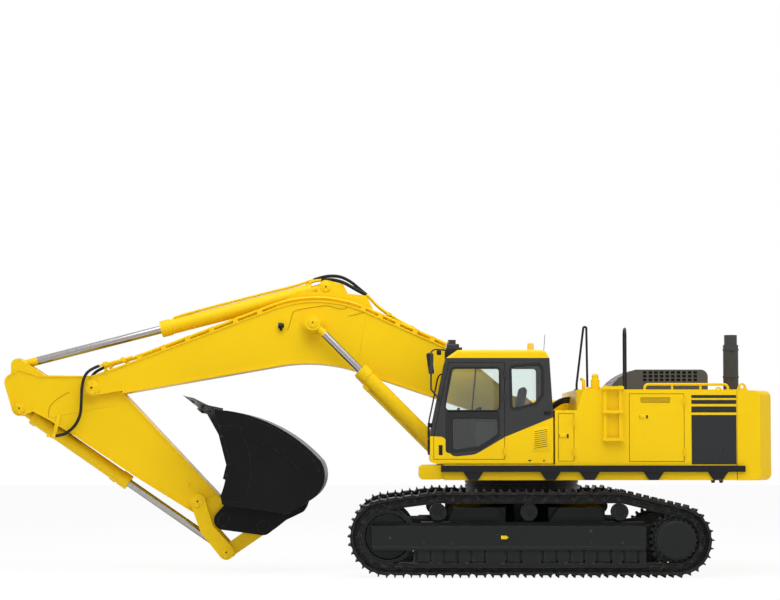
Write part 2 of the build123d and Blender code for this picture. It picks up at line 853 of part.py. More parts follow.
def paint_line():
    """Side-view face of all that lies under the wave where the cab's two colours meet."""
    wave = outline(
        (cab_front_x + 60, cab_break_z), (cab_front_x - 223, cab_break_z - 15), (cab_front_x - 297, 1758),
        (door_rear_x + 441, 1794), (door_rear_x - 3, 2055), (cab_rear_x - 65, 2373),
        (cab_rear_x - 65, cab_low_z - 60), (cab_front_x + 60, cab_low_z - 60),
    )
    wave = rounded(wave, (cab_front_x - 223, cab_break_z - 15), 90)
    wave = rounded(wave, (cab_front_x - 297, 1758), 120)
    return rounded(wave, (door_rear_x + 441, 1794), 300)


def door_side(grow):
    lean = (cab_front_x - cab_top_front_x) / (cab_eave_z - cab_break_z)
    face = outline(
        (cab_front_x - pillar, door_low_z), (cab_front_x - pillar, cab_break_z - 15),
        (cab_top_front_x - pillar + (cab_eave_z - door_high_z) * lean, door_high_z),
        (door_rear_x, door_high_z), (door_rear_x, door_low_z),
    )
    return offset(face, amount=grow, kind=Kind.INTERSECTION) if grow else face


def upper_door_window():
    window = outline(
        (cab_top_front_x - 74, 3081), (door_rear_x + 78, 3081),
        (door_rear_x + 78, 2446), (cab_top_front_x + 21, 2446),
    )
    return fillet(window.vertices(), 60)


def lower_door_window():
    window = outline(
        (cab_top_front_x - 91, 2332), (door_rear_x + 96, 2332), (door_rear_x + 96, 2100),
        (door_rear_x + 373, 1912), (cab_top_front_x - 91, 1860),
    )
    return fillet(window.vertices(), 50)


def quarter_window():
    window = outline(
        (door_rear_x - 92, 3093), (cab_rear_x + 207, 3129), (cab_rear_x + 163, 3034), (cab_rear_x + 169, 2678),
        (cab_rear_x + 267, 2559), (door_rear_x - 107, 2470),
    )
    return fillet(window.vertices(), 40)


def right_window():
    window = outline((1080, 3100), (cab_rear_x + 185, 3100), (cab_rear_x + 185, 2350), (1230, 2350))
    return fillet(window.vertices(), 60)


def cab_opening(x_low, x_high, z_low, z_high, grow):
    """Cut through the front or rear wall, with rounded corners, seen along X."""
    wide, high = cab_width - 2 * window_margin, z_high - z_low
    hole = Pos(cab_middle, (z_low + z_high) / 2) * RectangleRounded(wide + 2 * grow, high + 2 * grow, 60 + grow)
    return extrude(Plane.YZ.offset(x_low) * hole, amount=x_high - x_low)


def front_window(grow):
    return cab_opening(cab_top_front_x - 300, cab_front_x + 60, cab_break_z + 70, cab_eave_z - 70, grow)


def lower_window(grow):
    return cab_opening(cab_front_x - 140, cab_front_x + 60, cab_low_z + 150, cab_break_z - 50, grow)


def rear_window(grow):
    return cab_opening(cab_rear_x - 65, cab_rear_top_x + 85, 2480, 3120, grow)


def cab_skin(inset, thick):
    deep = inset + thick
    outer = offset(cab_side(), amount=-inset, kind=Kind.INTERSECTION) if inset else cab_side()
    inner = offset(cab_side(), amount=-deep, kind=Kind.INTERSECTION)
    return plate(outer, cab_right + inset, cab_left - inset) - plate(inner, cab_right + deep, cab_left - deep)


def cab_shell():
    shell = cab_skin(0, cab_wall)
    shell -= plate(door_side(0), cab_left - cab_wall - 1, cab_left + 1)
    shell -= plate(quarter_window(), cab_left - cab_wall - 1, cab_left + 1)
    shell -= plate(right_window(), cab_right - 1, cab_right + cab_wall + 1)
    return shell - front_window(0) - lower_window(0) - rear_window(0)


def cab_lower():
    shell = cab_shell() & plate(paint_line(), cab_right - 10, cab_left + 10)
    for x in (cab_rear_x + 120, cab_front_x - 330):
        for y in (cab_right + 120, cab_left - 120):
            pad = Pos(x, y) * Rectangle(cab_pad, cab_pad)
            shell += slab(pad, deck_top_z + seat_gap, cab_low_z + 1)
    return shell + fixed_hinges(door_hinge_x, door_low_z - 60, door_low_z + 300)


def cab_upper():
    shell = cab_shell() - plate(paint_line(), cab_right - 10, cab_left + 10)
    return shell + fixed_hinges(door_hinge_x, door_high_z - 700, door_high_z)


def cab_glass():
    skin = cab_skin(glass_set, glass_thick)
    panes = [
        skin & front_window(-glass_gap),
        skin & lower_window(-glass_gap),
        skin & rear_window(-glass_gap),
        skin & plate(offset(quarter_window(), amount=-glass_gap), cab_left - cab_wall, cab_left),
        skin & plate(offset(right_window(), amount=-glass_gap), cab_right, cab_right + cab_wall),
    ]
    return group(*panes)


def cab_roof():
    profile = belt(
        (cab_rear_top_x, cab_eave_z, 0), (cab_top_front_x, cab_eave_z, 0),
        (cab_top_front_x - 190, cab_roof_z - 70, 70), (cab_rear_top_x + 110, cab_roof_z - 80, 80),
    )
    roof = plate(profile, cab_right, cab_left)
    top = roof.faces().sort_by(Axis.Z)[-1]
    return fillet(top.edges().filter_by(Axis.X), 45)


def door_leaf():
    leaf = plate(door_side(-door_gap), cab_left - cab_wall, cab_left)
    for window in (upper_door_window(), lower_door_window()):
        leaf -= plate(window, cab_left - cab_wall - 1, cab_left + 1)
    return leaf


def cab_door():
    leaf = door_leaf() - plate(paint_line(), cab_right - 10, cab_left + 10)
    return leaf + leaf_hinges(door_hinge_x, door_high_z - 700, door_high_z)


def door_skirt():
    leaf = door_leaf() & plate(paint_line(), cab_right - 10, cab_left + 10)
    return leaf + leaf_hinges(door_hinge_x, door_low_z - 60, door_low_z + 300)


def door_glass():
    panes = []
    for window in (upper_door_window(), lower_door_window()):
        pane = offset(window, amount=-glass_gap)
        panes.append(plate(pane, cab_left - glass_set - glass_thick, cab_left - glass_set))
    return group(*panes)


def seat():
    floor = cab_low_z + cab_wall
    base = block(150, 520, cab_middle - 200, cab_middle + 200, floor + seat_gap, floor + 330)
    cushion = block(90, 640, cab_middle - 270, cab_middle + 270, floor + 330, floor + 480)
    back = outline((90, floor + 480), (210, floor + 480), (60, floor + 1130), (-40, floor + 1130))
    return base + cushion + plate(back, cab_middle - 260, cab_middle + 260)


def consoles():
    floor = cab_low_z + cab_wall + seat_gap
    right = outline((250, floor), (700, floor), (780, floor + 500), (740, floor + 620), (250, floor + 560))
    left = outline((250, floor), (700, floor), (780, floor + 450), (740, floor + 560), (250, floor + 500))
    return group(
        plate(fillet(right.vertices(), 30), cab_middle - 420, cab_middle - 300),
        plate(fillet(left.vertices(), 30), cab_middle + 290, cab_middle + 400),
    )


# Ladder, rails, mirror and lamps

def ladder():
    near = upper_half_width + seat_gap
    far = near + ladder_standoff
    steps = Part()
    for x in (ladder_front_x - 28, ladder_rear_x + 28):
        steps += block(x - 27, x + 27, near, far, ladder_low_z, ladder_high_z)
    for z in rung_zs:
        rung = RectangleRounded(ladder_front_x - ladder_rear_x + 36, 46, 15)
        steps += plate(Pos((ladder_front_x + ladder_rear_x) / 2, z) * rung, far - 20, far + 45)
    return steps


def hand_rails():
    foot = house_top_z + seat_gap
    front, rear = house_front_x - 24, house_front_x - 186
    loop = tube(
        rail_tube_r, 20, (front, loop_y, foot), (front, loop_y, foot + 90), (rear + 56, loop_y, loop_top_z),
        (rear + 12, loop_y, loop_top_z), (rear, loop_y, foot),
    )
    gate_x, gate_y = ladder_rear_x - 60, upper_half_width - 70
    gate = tube(
        rail_tube_r, 110, (gate_x, gate_y, foot), (gate_x, gate_y, loop_top_z - 34),
        (gate_x, gate_y - 270, loop_top_z - 34), (gate_x, gate_y - 270, foot),
    )
    return group(loop, gate)


def hood_rail():
    foot = house_top_z + seat_gap
    y = upper_half_width - 190
    front, rear = hood_front_x - 486, hood_rear_x - 219
    rail = tube(
        rail_tube_r + 3, 60, (front, y, foot), (front, y, hood_rail_z), (rear, y, hood_rail_z), (rear, y, foot)
    )
    for share in (0.33, 0.67):
        rail += post(front + (rear - front) * share, y, rail_tube_r, foot, hood_rail_z)
    return rail


def mirror_set():
    x = cab_front_x - 14
    y = cab_left + 60
    stalk = tube(
        14, 40, (cab_top_front_x + 110, cab_left + seat_gap, 2620), (cab_top_front_x + 110, y, 2620),
        (x, y, 2760), (x, y, 3000),
    )
    head = Pos(x, y, 3142) * Box(70, 200, 310)
    return stalk + fillet(head.edges(), 25)


def roof_lamps():
    lamps = []
    x = cab_top_front_x - 104
    for y in (cab_right + 155, cab_left - 190):
        stem = block(x - 140, x - 90, y - 25, y + 25, cab_roof_z + seat_gap, cab_roof_z + 45)
        stem += block(x - 140, x - 50, y - 25, y + 25, cab_roof_z + 25, cab_roof_z + 45)
        body = Pos(x, y, cab_roof_z + 50) * Box(192, 170, 90)
        cowl = Pos(x + 12, y, cab_roof_z + 115) * Box(112, 130, 80)
        lamps.append(stem + fillet(body.edges(), 22) + cowl)
    return group(*lamps)


def cab_fittings():
    return group(mirror_set(), roof_lamps())


def beacon():
    profile = outline((0, 0), (64, 0), (64, 30), (54, 36), (48, 128), (0, 148))
    lamp = revolve(Plane.XZ * profile, Axis.Z)
    return Pos(cab_rear_top_x + 235, cab_right + 220, cab_roof_z + seat_gap) * lamp


def filler():
    x, y = house_front_x - 290, upper_half_width - 260
    foot = house_top_z + seat_gap
    cap = outline((0, 0), (66, 0), (66, 150), (50, 155), (50, 215), (30, 240), (0, 240))
    return Pos(x, y, foot) * revolve(Plane.XZ * cap, Axis.Z)


def deck_fittings():
    return group(ladder(), hood_rail(), filler())


# Boom and arm

def boom_top_line():
    return boom_back, boom_crest, (boom_length - boom_front_drop[0], boom_front_drop[1])


def boom_side():
    back, crest, front = boom_top_line()
    sole_u = boom_length - boom_sole_end
    face = outline(
        (-30, boom_foot_r - 4), (19, 1 - boom_foot_r), boom_belly, (sole_u, -16 - boom_sole), (sole_u, -16),
        (boom_length - 27, 3 - boom_nose_r), (boom_length + 10, 185), front, crest, back,
    )
    face = rounded(face, crest, boom_crest_r)
    face = rounded(face, boom_belly, boom_belly_r)
    face = rounded(face, back, 700)
    return face + Circle(boom_foot_r) + Pos(boom_length, 0) * Circle(boom_nose_r)


def boom():
    local = boom_side()
    side, inner = on_boom(local), on_boom(offset(local, amount=-boom_wall))
    half = boom_half_width
    beam = plate(side, -half, half)
    beam -= both(plate(inner, boom_web_face, half + 1))
    slot_u = boom_length - fork_slot_depth
    reach = outline((boom_foot_r + 60, -900), (slot_u - 40, -900), (slot_u - 40, 2400), (boom_foot_r + 60, 2400))
    beam -= plate(inner & on_boom(reach), boom_wall - boom_web_face, boom_web_face - boom_wall)
    slot = outline((slot_u, -700), (boom_length + 400, -700), (boom_length + 400, 900), (slot_u, 900))
    beam -= plate(on_boom(slot), -fork_slot_half, fork_slot_half)
    beam += disc(arm_pin, arm_pin_r, -half, half)
    beam += both(disc(arm_pin, boom_nose_r + 5, fork_slot_half, half + 18))
    beam += disc(boom_foot, boom_foot_r, -half, half)
    beam -= disc(boom_foot, foot_pin_r + pin_gap, -400, 400)
    beam += both(disc(boom_ram_eye, boom_boss_r, boom_web_face, boom_ram_y - boom_ram["half_width"] - move_gap))
    u, v = arm_ram_on_boom
    ear = on_boom(belt((u, v, 105), (u - 225, v - 5, 65), (u - 484, v - 326, 0), (u + 188, v - 303, 0)))
    near, far = arm_ram["half_width"] + move_gap, saddle_inner
    beam += both(plate(ear, near, far))
    saddle = outline(
        (u + 911, v - 460), (u + 410, v - 86), (u - 440, v - 95), (u - 640, v - 105), (u - 900, v - 600)
    )
    beam += both(plate(on_boom(saddle), far, far + saddle_thick))
    return beam + disc(arm_ram_base, ram_pin_r, -far, far)


def beside(start, end, share, rise):
    """Point part of the way along a line and moved to the left of it."""
    turn = math.radians(heading(start, end))
    return (
        start[0] + (end[0] - start[0]) * share - rise * math.sin(turn),
        start[1] + (end[1] - start[1]) * share + rise * math.cos(turn),
    )


def boom_pipes():
    """A pipe near each edge of the boom's top, on clamps, from the foot's end to the nose."""
    back, crest, front = boom_top_line()
    up, down = math.radians(heading(back, crest)), math.radians(heading(crest, front))
    apex_rise = pipe_rise / math.cos((up - down) / 2)
    lean = (up + down) / 2
    apex = (crest[0] - apex_rise * math.sin(lean), crest[1] + apex_rise * math.cos(lean))
    ends = beside(back, crest, 0.1, pipe_rise), beside(crest, front, 0.93, pipe_rise)
    points = [(u, pipe_y, v) for u, v in (ends[0], apex, ends[1])]
    one = tube(pipe_r, boom_crest_r + pipe_rise, *points)
    for index in range(pipe_clamp_count):
        share = 0.3 + 0.6 * index / (pipe_clamp_count - 1)
        for line in ((crest, back), (crest, front)):
            u, v = beside(*line, share, 0)
            tilt = heading(*sorted(line))
            clamp = Rot(0, -tilt, 0) * Pos(0, 0, pipe_rise / 2) * Box(80, 90, pipe_rise + 40)
            one += Pos(u, pipe_y, v) * clamp
    pipes = Pos(boom_foot[0], 0, boom_foot[1]) * Rot(0, -boom_angle, 0) * one
    return pair(pipes - boom())


def arm_side():
    q_u, q_v = bucket_ram_on_arm
    rear = belt(
        (-1010, 590, 0), (-730, 449, 0), (-387, 890, 0), (q_u, q_v, 118), (q_u - 350, q_v - 212, 138),
    )
    body = outline(
        (-900, 620), (-90, -170), (381, -279), (arm_length - 322, -213), (arm_length - 40, -143),
        (arm_length - 50, 139), (arm_length - 511, 276), (0.526 * arm_length, 476), (350, 711), (-126, 820),
        (-387, 901), (-720, 900),
    )
    body = rounded(body, (381, -279), 260)
    body = rounded(body, (-90, -170), 150)
    return body + rear + Pos(arm_length, 0) * Circle(arm_tip_r)


def arm():
    local = arm_side()
    inner = offset(local, amount=-arm_wall)
    half = arm_half_width
    beam = plate(on_arm(local), -half, half)
    beam -= both(plate(on_arm(inner), arm_web_face, half + 1))
    reach = outline((-520, -900), (arm_length - 800, -900), (arm_length - 800, 1400), (-520, 1400)) - Circle(230)
    beam -= plate(on_arm(inner & reach), arm_wall - arm_web_face, arm_web_face - arm_wall)
    r_u, r_v = arm_ram_on_arm
    ear = belt((r_u, r_v, 100), (-610, 370, 0), (-850, 920, 0))
    beam += both(plate(on_arm(ear), ram_channel_half, arm_web_face))
    pin_x, pin_z = arm_pin
    channel = outline(
        (pin_x + 613, pin_z - 813), (pin_x + 1583, pin_z - 813),
        (pin_x + 1583, pin_z + 687), (pin_x + 613, pin_z + 687),
    )
    beam -= plate(channel, -ram_channel_half, ram_channel_half)
    q_u, q_v = bucket_ram_on_arm
    throat = belt((q_u + 227, q_v - 20, 190), (q_u + 1019, q_v - 160, 190))
    barrel_half = bucket_ram["barrel_r"] + 25
    beam -= plate(on_arm(throat), -barrel_half, barrel_half)
    beam += disc(arm_pin, arm_boss_r, -half, half)
    beam -= disc(arm_pin, arm_pin_r + pin_gap, -400, 400)
    beam -= disc(bucket_pin, bucket_pin_r + pin_gap, -400, 400)
    beam -= both(disc(bucket_pin, 430, arm_tip_half_width, half + 1))
    beam += disc(bucket_ram_base, ram_pin_r, -arm_web_face, arm_web_face)
    beam += both(disc(bucket_ram_base, ram_pin_r + 40, arm_web_face - 1, half + 12))
    beam += disc(guide_pin, guide_r, -guide_inner, guide_inner)
    return beam + disc(guide_pin, bucket_pin_r, -guide_inner - guide_thick, guide_inner + guide_thick)


# Rams: drawn from their root eye along +X, then laid between two pins

def laid(solid, start, end, y):
    return Pos(start[0], y, start[1]) * Rot(0, -heading(start, end), 0) * solid


def bar(radius, x_low, x_high):
    return Pos((x_low + x_high) / 2, 0, 0) * Rot(0, 90, 0) * Cylinder(radius, x_high - x_low)


def eye(x, radius, half_width):
    return Pos(x, 0, 0) * Rot(90, 0, 0) * Cylinder(radius, 2 * half_width)


def ram_barrel(ram, start, end, y):
    neck_end = ram["eye_r"] + 110
    tip = ram["barrel"]
    body = bar(ram["barrel_r"], neck_end, tip - ram_gland)
    body += bar(ram["half_width"], 0, neck_end + 30)
    body += bar(ram["barrel_r"] + ram_head, tip - ram_gland - 40, tip)
    body += bar(ram["barrel_r"] + ram_head, neck_end, neck_end + 60)
    body += eye(0, ram["eye_r"], ram["half_width"])
    ports = Pos(0, 0, ram["barrel_r"] + 24) * bar(16, neck_end + 40, tip - ram_gland - 130)
    for x, length in ((tip - ram_gland - 130, 110), (neck_end + 40, 90)):
        ports += Pos(x, 0, ram["barrel_r"] + 14) * Box(length, 70, 60)
    body += Rot(ram["pipe_turn"], 0, 0) * ports
    body -= bar(ram_bore_r, neck_end + 40, tip - ram_gland)
    body -= bar(ram["rod_r"] + pin_gap, tip - ram_gland - 1, tip + 1)
    body -= eye(0, ram_pin_r + pin_gap, ram["half_width"] + 1)
    return laid(body, start, end, y)


def ram_rod(ram, start, end, y):
    length = span(start, end)
    body = bar(ram["rod_r"], ram["barrel"] - ram["rod_in"], length - 40)
    body += eye(length, ram["eye_r"], ram["half_width"])
    body += eye(length, ram_pin_r, ram["half_width"] + move_gap - 1)
    return laid(body, start, end, y)


# Bucket and its linkage

def guide_links():
    lean = math.radians(heading(guide_pin, link_pin) + 90)
    reach = span(guide_pin, link_pin)
    middle = (
        (guide_pin[0] + link_pin[0]) / 2 + guide_bow * math.cos(lean) + 0.02 * reach,
        (guide_pin[1] + link_pin[1]) / 2 + guide_bow * math.sin(lean),
        105,
    )
    face = belt((*guide_pin, guide_r), middle) + belt(middle, (*link_pin, guide_r))
    face -= Pos(*guide_pin) * Circle(bucket_pin_r + pin_gap)
    return both(plate(face, guide_inner + 0.5, guide_inner + guide_thick))


def bucket_link():
    wide = bucket_ear_inner - move_gap
    body = plate(belt((*link_pin, link_r), (*ear_pin, link_r)), -wide, wide)
    body -= disc(link_pin, 330, -ram_channel_half, ram_channel_half)
    body += both(disc(link_pin, ram_pin_r, wide, guide_inner - move_gap))
    return body - disc(ear_pin, bucket_pin_r + pin_gap, -wide - 1, wide + 1)


def bucket_side_view():
    return make_face([
        Line((-613, -1625), (-172, -1662)),
        ThreePointArc((-172, -1662), (703, -1508), (1342, -1138)),
        ThreePointArc((1342, -1138), (1438, -891), (1315, -566)),
        Line((1315, -566), (988, -279)),
        Line((988, -279), (-21, -253)),
        Line((-21, -253), (-69, -380)),
        ThreePointArc((-69, -380), (-60, -855), (-253, -1289)),
        Line((-253, -1289), (-470, -1557)),
        Line((-470, -1557), (-613, -1625)),
    ])


def bucket():
    wide = bucket_half_width
    profile = bucket_side_view()
    shell = plate(on_bucket(profile), -wide, wide)
    ear = belt(
        (0, 0, 150), (40, -350, 0), (1230, -500, 0), (1214, -400, 0), (1180, -322, 0), (947, -159, 0),
        (800, 0, 0), (ear_reach, 0, 130),
    )
    ear_inner, ear_outer = bucket_ear_inner, bucket_ear_inner + bucket_ear_thick
    shell += both(plate(on_bucket(ear), ear_inner, ear_outer))
    inside = offset(profile, amount=-bucket_wrap)
    mouth = outline((-10, -1600), (-790, -1535), (-560, -200), (130, -280))
    shell -= plate(on_bucket(inside + mouth), bucket_side - wide, wide - bucket_side)
    lip = outline((-613, -1625), (-172, -1662), (-100, -1600), (-470, -1557))
    shell += plate(on_bucket(lip), 5 - wide, wide - 5)
    cutter = outline(
        (-613, -1625), (-400, -1645), (-160, -1240), (20, -860), (10, -620),
        (-75, -640), (-60, -855), (-253, -1289), (-470, -1557),
    )
    shell += both(plate(on_bucket(cutter), wide - 5, wide + 20))
    root = outline((-380, -1590), (-380, -1690), (-610, -1700), (-640, -1610), (-560, -1560))
    tip = outline((-600, -1622), (-600, -1693), (-895, -1783))
    pitch = (2 * wide - 180) / (tooth_count - 1)
    for index in range(tooth_count):
        y = 90 - wide + pitch * index
        shell += plate(on_bucket(root), y - tooth_width / 2, y + tooth_width / 2)
        shell += plate(on_bucket(tip), y - tooth_width / 2 + 15, y + tooth_width / 2 - 15)
    for pin in (bucket_pin, ear_pin):
        shell += disc(pin, bucket_pin_r, -ear_inner, ear_inner)
        shell += both(disc(pin, bucket_pin_r + 30, ear_outer - 1, ear_outer + 8))
    return shell


# The assembly

def sided_nodes(side, name):
    ram_y = side * boom_ram_y
    return {
        "track_" + name: track(side),
        "track_frame_" + name: track_frame(side),
        "track_wheels_" + name: track_wheels(side),
        "boom_ram_barrel_" + name: ram_barrel(boom_ram, boom_ram_base, boom_ram_eye, ram_y),
        "boom_ram_rod_" + name: ram_rod(boom_ram, boom_ram_base, boom_ram_eye, ram_y),
        "service_door_" + name: service_door(side),
    }


def all_nodes():
    nodes = {**sided_nodes(1, "left"), **sided_nodes(-1, "right")}
    makers = (
        car_body, swing_bearing, revolving_frame, side_decks, step_rail, front_step, counterweight,
        engine_house, exhaust_stack, side_bay, bay_door, engine_hood, engine, fuel_tank, tool_box,
        cab_lower, cab_upper, cab_glass, cab_roof, cab_door, door_skirt, door_glass, seat, consoles,
        cab_fittings, beacon, deck_fittings, hand_rails, boom, boom_pipes, arm, guide_links, bucket_link, bucket,
    )
    for maker in makers:
        nodes[maker.__name__] = maker()
    nodes["arm_ram_barrel"] = ram_barrel(arm_ram, arm_ram_base, arm_ram_eye, 0)
    nodes["arm_ram_rod"] = ram_rod(arm_ram, arm_ram_base, arm_ram_eye, 0)
    nodes["bucket_ram_barrel"] = ram_barrel(bucket_ram, bucket_ram_base, link_pin, 0)
    nodes["bucket_ram_rod"] = ram_rod(bucket_ram, bucket_ram_base, link_pin, 0)
    return nodes


def main():
    os.makedirs("parts", exist_ok=True)
    for name, shape in all_nodes().items():
        export_step(shape, "parts/" + name + ".step")


if __name__ == "__main__":
    main()
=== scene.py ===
import json
import math

import bmesh
import bpy
from mathutils import Matrix, Vector


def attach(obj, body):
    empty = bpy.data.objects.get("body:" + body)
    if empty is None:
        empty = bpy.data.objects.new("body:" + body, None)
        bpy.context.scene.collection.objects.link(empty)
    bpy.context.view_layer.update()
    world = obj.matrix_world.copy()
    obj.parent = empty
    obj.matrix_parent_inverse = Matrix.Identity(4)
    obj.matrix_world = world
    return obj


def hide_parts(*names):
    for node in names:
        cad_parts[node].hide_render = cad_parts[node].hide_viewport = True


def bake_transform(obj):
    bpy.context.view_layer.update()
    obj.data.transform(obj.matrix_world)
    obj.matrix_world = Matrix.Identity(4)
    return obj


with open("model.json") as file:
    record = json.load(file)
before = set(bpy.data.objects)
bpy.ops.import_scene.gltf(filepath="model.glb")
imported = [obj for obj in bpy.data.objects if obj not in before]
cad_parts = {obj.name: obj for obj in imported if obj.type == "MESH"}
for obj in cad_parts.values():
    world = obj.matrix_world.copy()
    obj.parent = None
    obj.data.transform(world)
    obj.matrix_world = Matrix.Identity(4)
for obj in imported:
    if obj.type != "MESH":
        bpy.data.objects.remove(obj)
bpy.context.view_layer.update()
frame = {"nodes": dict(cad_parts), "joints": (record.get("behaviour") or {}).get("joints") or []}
nodes = frame["nodes"]
jointAt = {joint["name"]: Vector(joint.get("pos_m", (0, 0, 0))) for joint in frame["joints"]}
bothSides = ((1, "Left"), (-1, "Right"))
print("frame loaded:", len(nodes), "nodes")


# camera

cameraSet = {"place": (2.032, 36.0, 2.0), "pitch": 93.47, "turn": 180, "lens": 107.1, "sensor": 36.0, "reach": 200.0}
cameraData = bpy.data.cameras.new("sideCamera")
cameraData.lens = cameraSet["lens"]
cameraData.sensor_width = cameraSet["sensor"]
cameraData.clip_end = cameraSet["reach"]
sideCamera = bpy.data.objects.new("sideCamera", cameraData)
sideCamera.location = cameraSet["place"]
sideCamera.rotation_euler = (math.radians(cameraSet["pitch"]), 0, math.radians(cameraSet["turn"]))
bpy.context.scene.collection.objects.link(sideCamera)
bpy.context.scene.camera = sideCamera
bpy.context.scene.view_settings.view_transform = "Standard"


# shader helpers

def feed(tree, made, inputs):
    # a socket is wired in, a plain value is set
    for key, value in inputs.items():
        if isinstance(value, bpy.types.NodeSocket):
            tree.links.new(value, made.inputs[key])
        else:
            made.inputs[key].default_value = value


def node(tree, kind, inputs=None, **values):
    made = tree.nodes.new(kind)
    for key, value in values.items():
        setattr(made, key, value)
    feed(tree, made, inputs or {})
    return made


def objectPlace(tree):
    return node(tree, "ShaderNodeTexCoord").outputs["Object"]


def noiseAt(tree, scale, detail=3.0, rough=0.55):
    inputs = {"Vector": objectPlace(tree), "Scale": scale, "Detail": detail, "Roughness": rough}
    return node(tree, "ShaderNodeTexNoise", inputs).outputs["Fac"]


def spread(tree, value, low, high, outLow=0.0, outHigh=1.0):
    inputs = {"Value": value, "From Min": low, "From Max": high, "To Min": outLow, "To Max": outHigh}
    return node(tree, "ShaderNodeMapRange", inputs, clamp=True).outputs["Result"]


def mathNode(tree, operation, *values):
    return node(tree, "ShaderNodeMath", dict(enumerate(values)), operation=operation).outputs[0]


def times(tree, first, second):
    return mathNode(tree, "MULTIPLY", first, second)


def vectorNode(tree, operation, *values):
    return node(tree, "ShaderNodeVectorMath", dict(enumerate(values)), operation=operation).outputs


def opaque(colour):
    return (*colour, 1.0) if isinstance(colour, tuple) else colour


def blendColour(tree, factor, first, second):
    inputs = {"Factor": factor, 6: opaque(first), 7: opaque(second)}
    return node(tree, "ShaderNodeMix", inputs, data_type="RGBA").outputs[2]


def bumped(tree, height, distance):
    inputs = {"Strength": 1.0, "Distance": distance, "Height": height}
    return node(tree, "ShaderNodeBump", inputs).outputs["Normal"]


# shader groups: each is one effect that several finishes share

def groupTree(name, inputs, outputs):
    tree = bpy.data.node_groups.new(name, "ShaderNodeTree")
    for label, kind, value in inputs:
        socket = tree.interface.new_socket(name=label, in_out="INPUT", socket_type="NodeSocket" + kind)
        socket.default_value = value
    for label, kind in outputs:
        tree.interface.new_socket(name=label, in_out="OUTPUT", socket_type="NodeSocket" + kind)
    return tree, node(tree, "NodeGroupInput").outputs, node(tree, "NodeGroupOutput")


def makePaintTone():
    # slow colour drift and faint streaks, as on sprayed panels
    tree, source, result = groupTree(
        "paintTone",
        [("Color", "Color", (1, 1, 1, 1)), ("Shade", "Color", (0.5, 0.5, 0.5, 1)), ("Amount", "Float", 0.3)],
        [("Color", "Color"), ("Roughness", "Float")],
    )
    cloud = spread(tree, noiseAt(tree, 0.9, 4.0), 0.35, 0.7)
    speck = spread(tree, noiseAt(tree, 38.0, 2.0), 0.3, 0.75, 0.6)
    factor = times(tree, times(tree, cloud, speck), source["Amount"])
    feed(tree, result, {
        "Color": blendColour(tree, factor, source["Color"], source["Shade"]),
        "Roughness": spread(tree, noiseAt(tree, 5.0, 5.0), 0.3, 0.7, 0.26, 0.42),
    })
    return tree


def makeEdgeMask():
    # bare edges, and on some finishes painted highlights along edges: the bevelled normal leaves the true one only near
    # an edge
    tree, source, result = groupTree(
        "edgeMask", [("Radius", "Float", 0.01), ("Break", "Float", 14.0)], [("Mask", "Float")]
    )
    rounded = node(tree, "ShaderNodeBevel", {"Radius": source["Radius"]}, samples=4).outputs["Normal"]
    facing = node(tree, "ShaderNodeNewGeometry").outputs["Normal"]
    edge = spread(tree, vectorNode(tree, "DOT_PRODUCT", rounded, facing)["Value"], 0.985, 0.86)
    patch = spread(tree, noiseAt(tree, source["Break"], 5.0, 0.5), 0.4, 0.62)
    feed(tree, result, {"Mask": times(tree, edge, patch)})
    return tree


def makeSettledDust():
    # fine dust on faces that look up
    tree, source, result = groupTree("settledDust", [("Amount", "Float", 0.2)], [("Mask", "Float")])
    facing = node(tree, "ShaderNodeNewGeometry").outputs["Normal"]
    upward = spread(tree, node(tree, "ShaderNodeSeparateXYZ", {0: facing}).outputs["Z"], 0.3, 1.0)
    patch = spread(tree, noiseAt(tree, 3.5, 6.0), 0.35, 0.7, 0.2)
    feed(tree, result, {"Mask": times(tree, times(tree, upward, patch), source["Amount"])})
    return tree


def makeFineGrain():
    # small relief: orange peel on paint, sand grain on castings
    tree, source, result = groupTree(
        "fineGrain", [("Scale", "Float", 90.0), ("Depth", "Float", 0.3)], [("Height", "Float")]
    )
    feed(tree, result, {"Height": times(tree, noiseAt(tree, source["Scale"], 4.0, 0.5), source["Depth"])})
    return tree


def makeEyeMask():
    # all that lies close to an axis along Y, such as the eye at a rod's end
    tree, source, result = groupTree(
        "eyeMask", [("Centre", "Vector", (0, 0, 0)), ("Radius", "Float", 0.14)], [("Mask", "Float")]
    )
    away = vectorNode(tree, "SUBTRACT", objectPlace(tree), source["Centre"])["Vector"]
    flat = vectorNode(tree, "MULTIPLY", away, (1.0, 0.0, 1.0))["Vector"]
    reach = vectorNode(tree, "LENGTH", flat)["Value"]
    feed(tree, result, {"Mask": mathNode(tree, "LESS_THAN", reach, source["Radius"])})
    return tree


groups = {
    "tone": makePaintTone(), "edge": makeEdgeMask(), "dust": makeSettledDust(), "grain": makeFineGrain(),
    "eye": makeEyeMask(),
}
print("shader groups made")


# finishes

def placeGroup(tree, key, **values):
    return node(tree, "ShaderNodeGroup", values, node_tree=groups[key]).outputs


def newFinish(name):
    material = bpy.data.materials.new(name)
    material.use_nodes = True
    tree = material.node_tree
    return material, tree, tree.nodes["Principled BSDF"]


def tipMask(tree, way, start, end):
    # scoured metal that grows along a direction, such as towards the teeth
    along = vectorNode(tree, "DOT_PRODUCT", objectPlace(tree), way)["Value"]
    patch = spread(tree, noiseAt(tree, 9.0, 6.0, 0.7), 0.42, 0.60)
    return times(tree, spread(tree, along, start, end), patch)


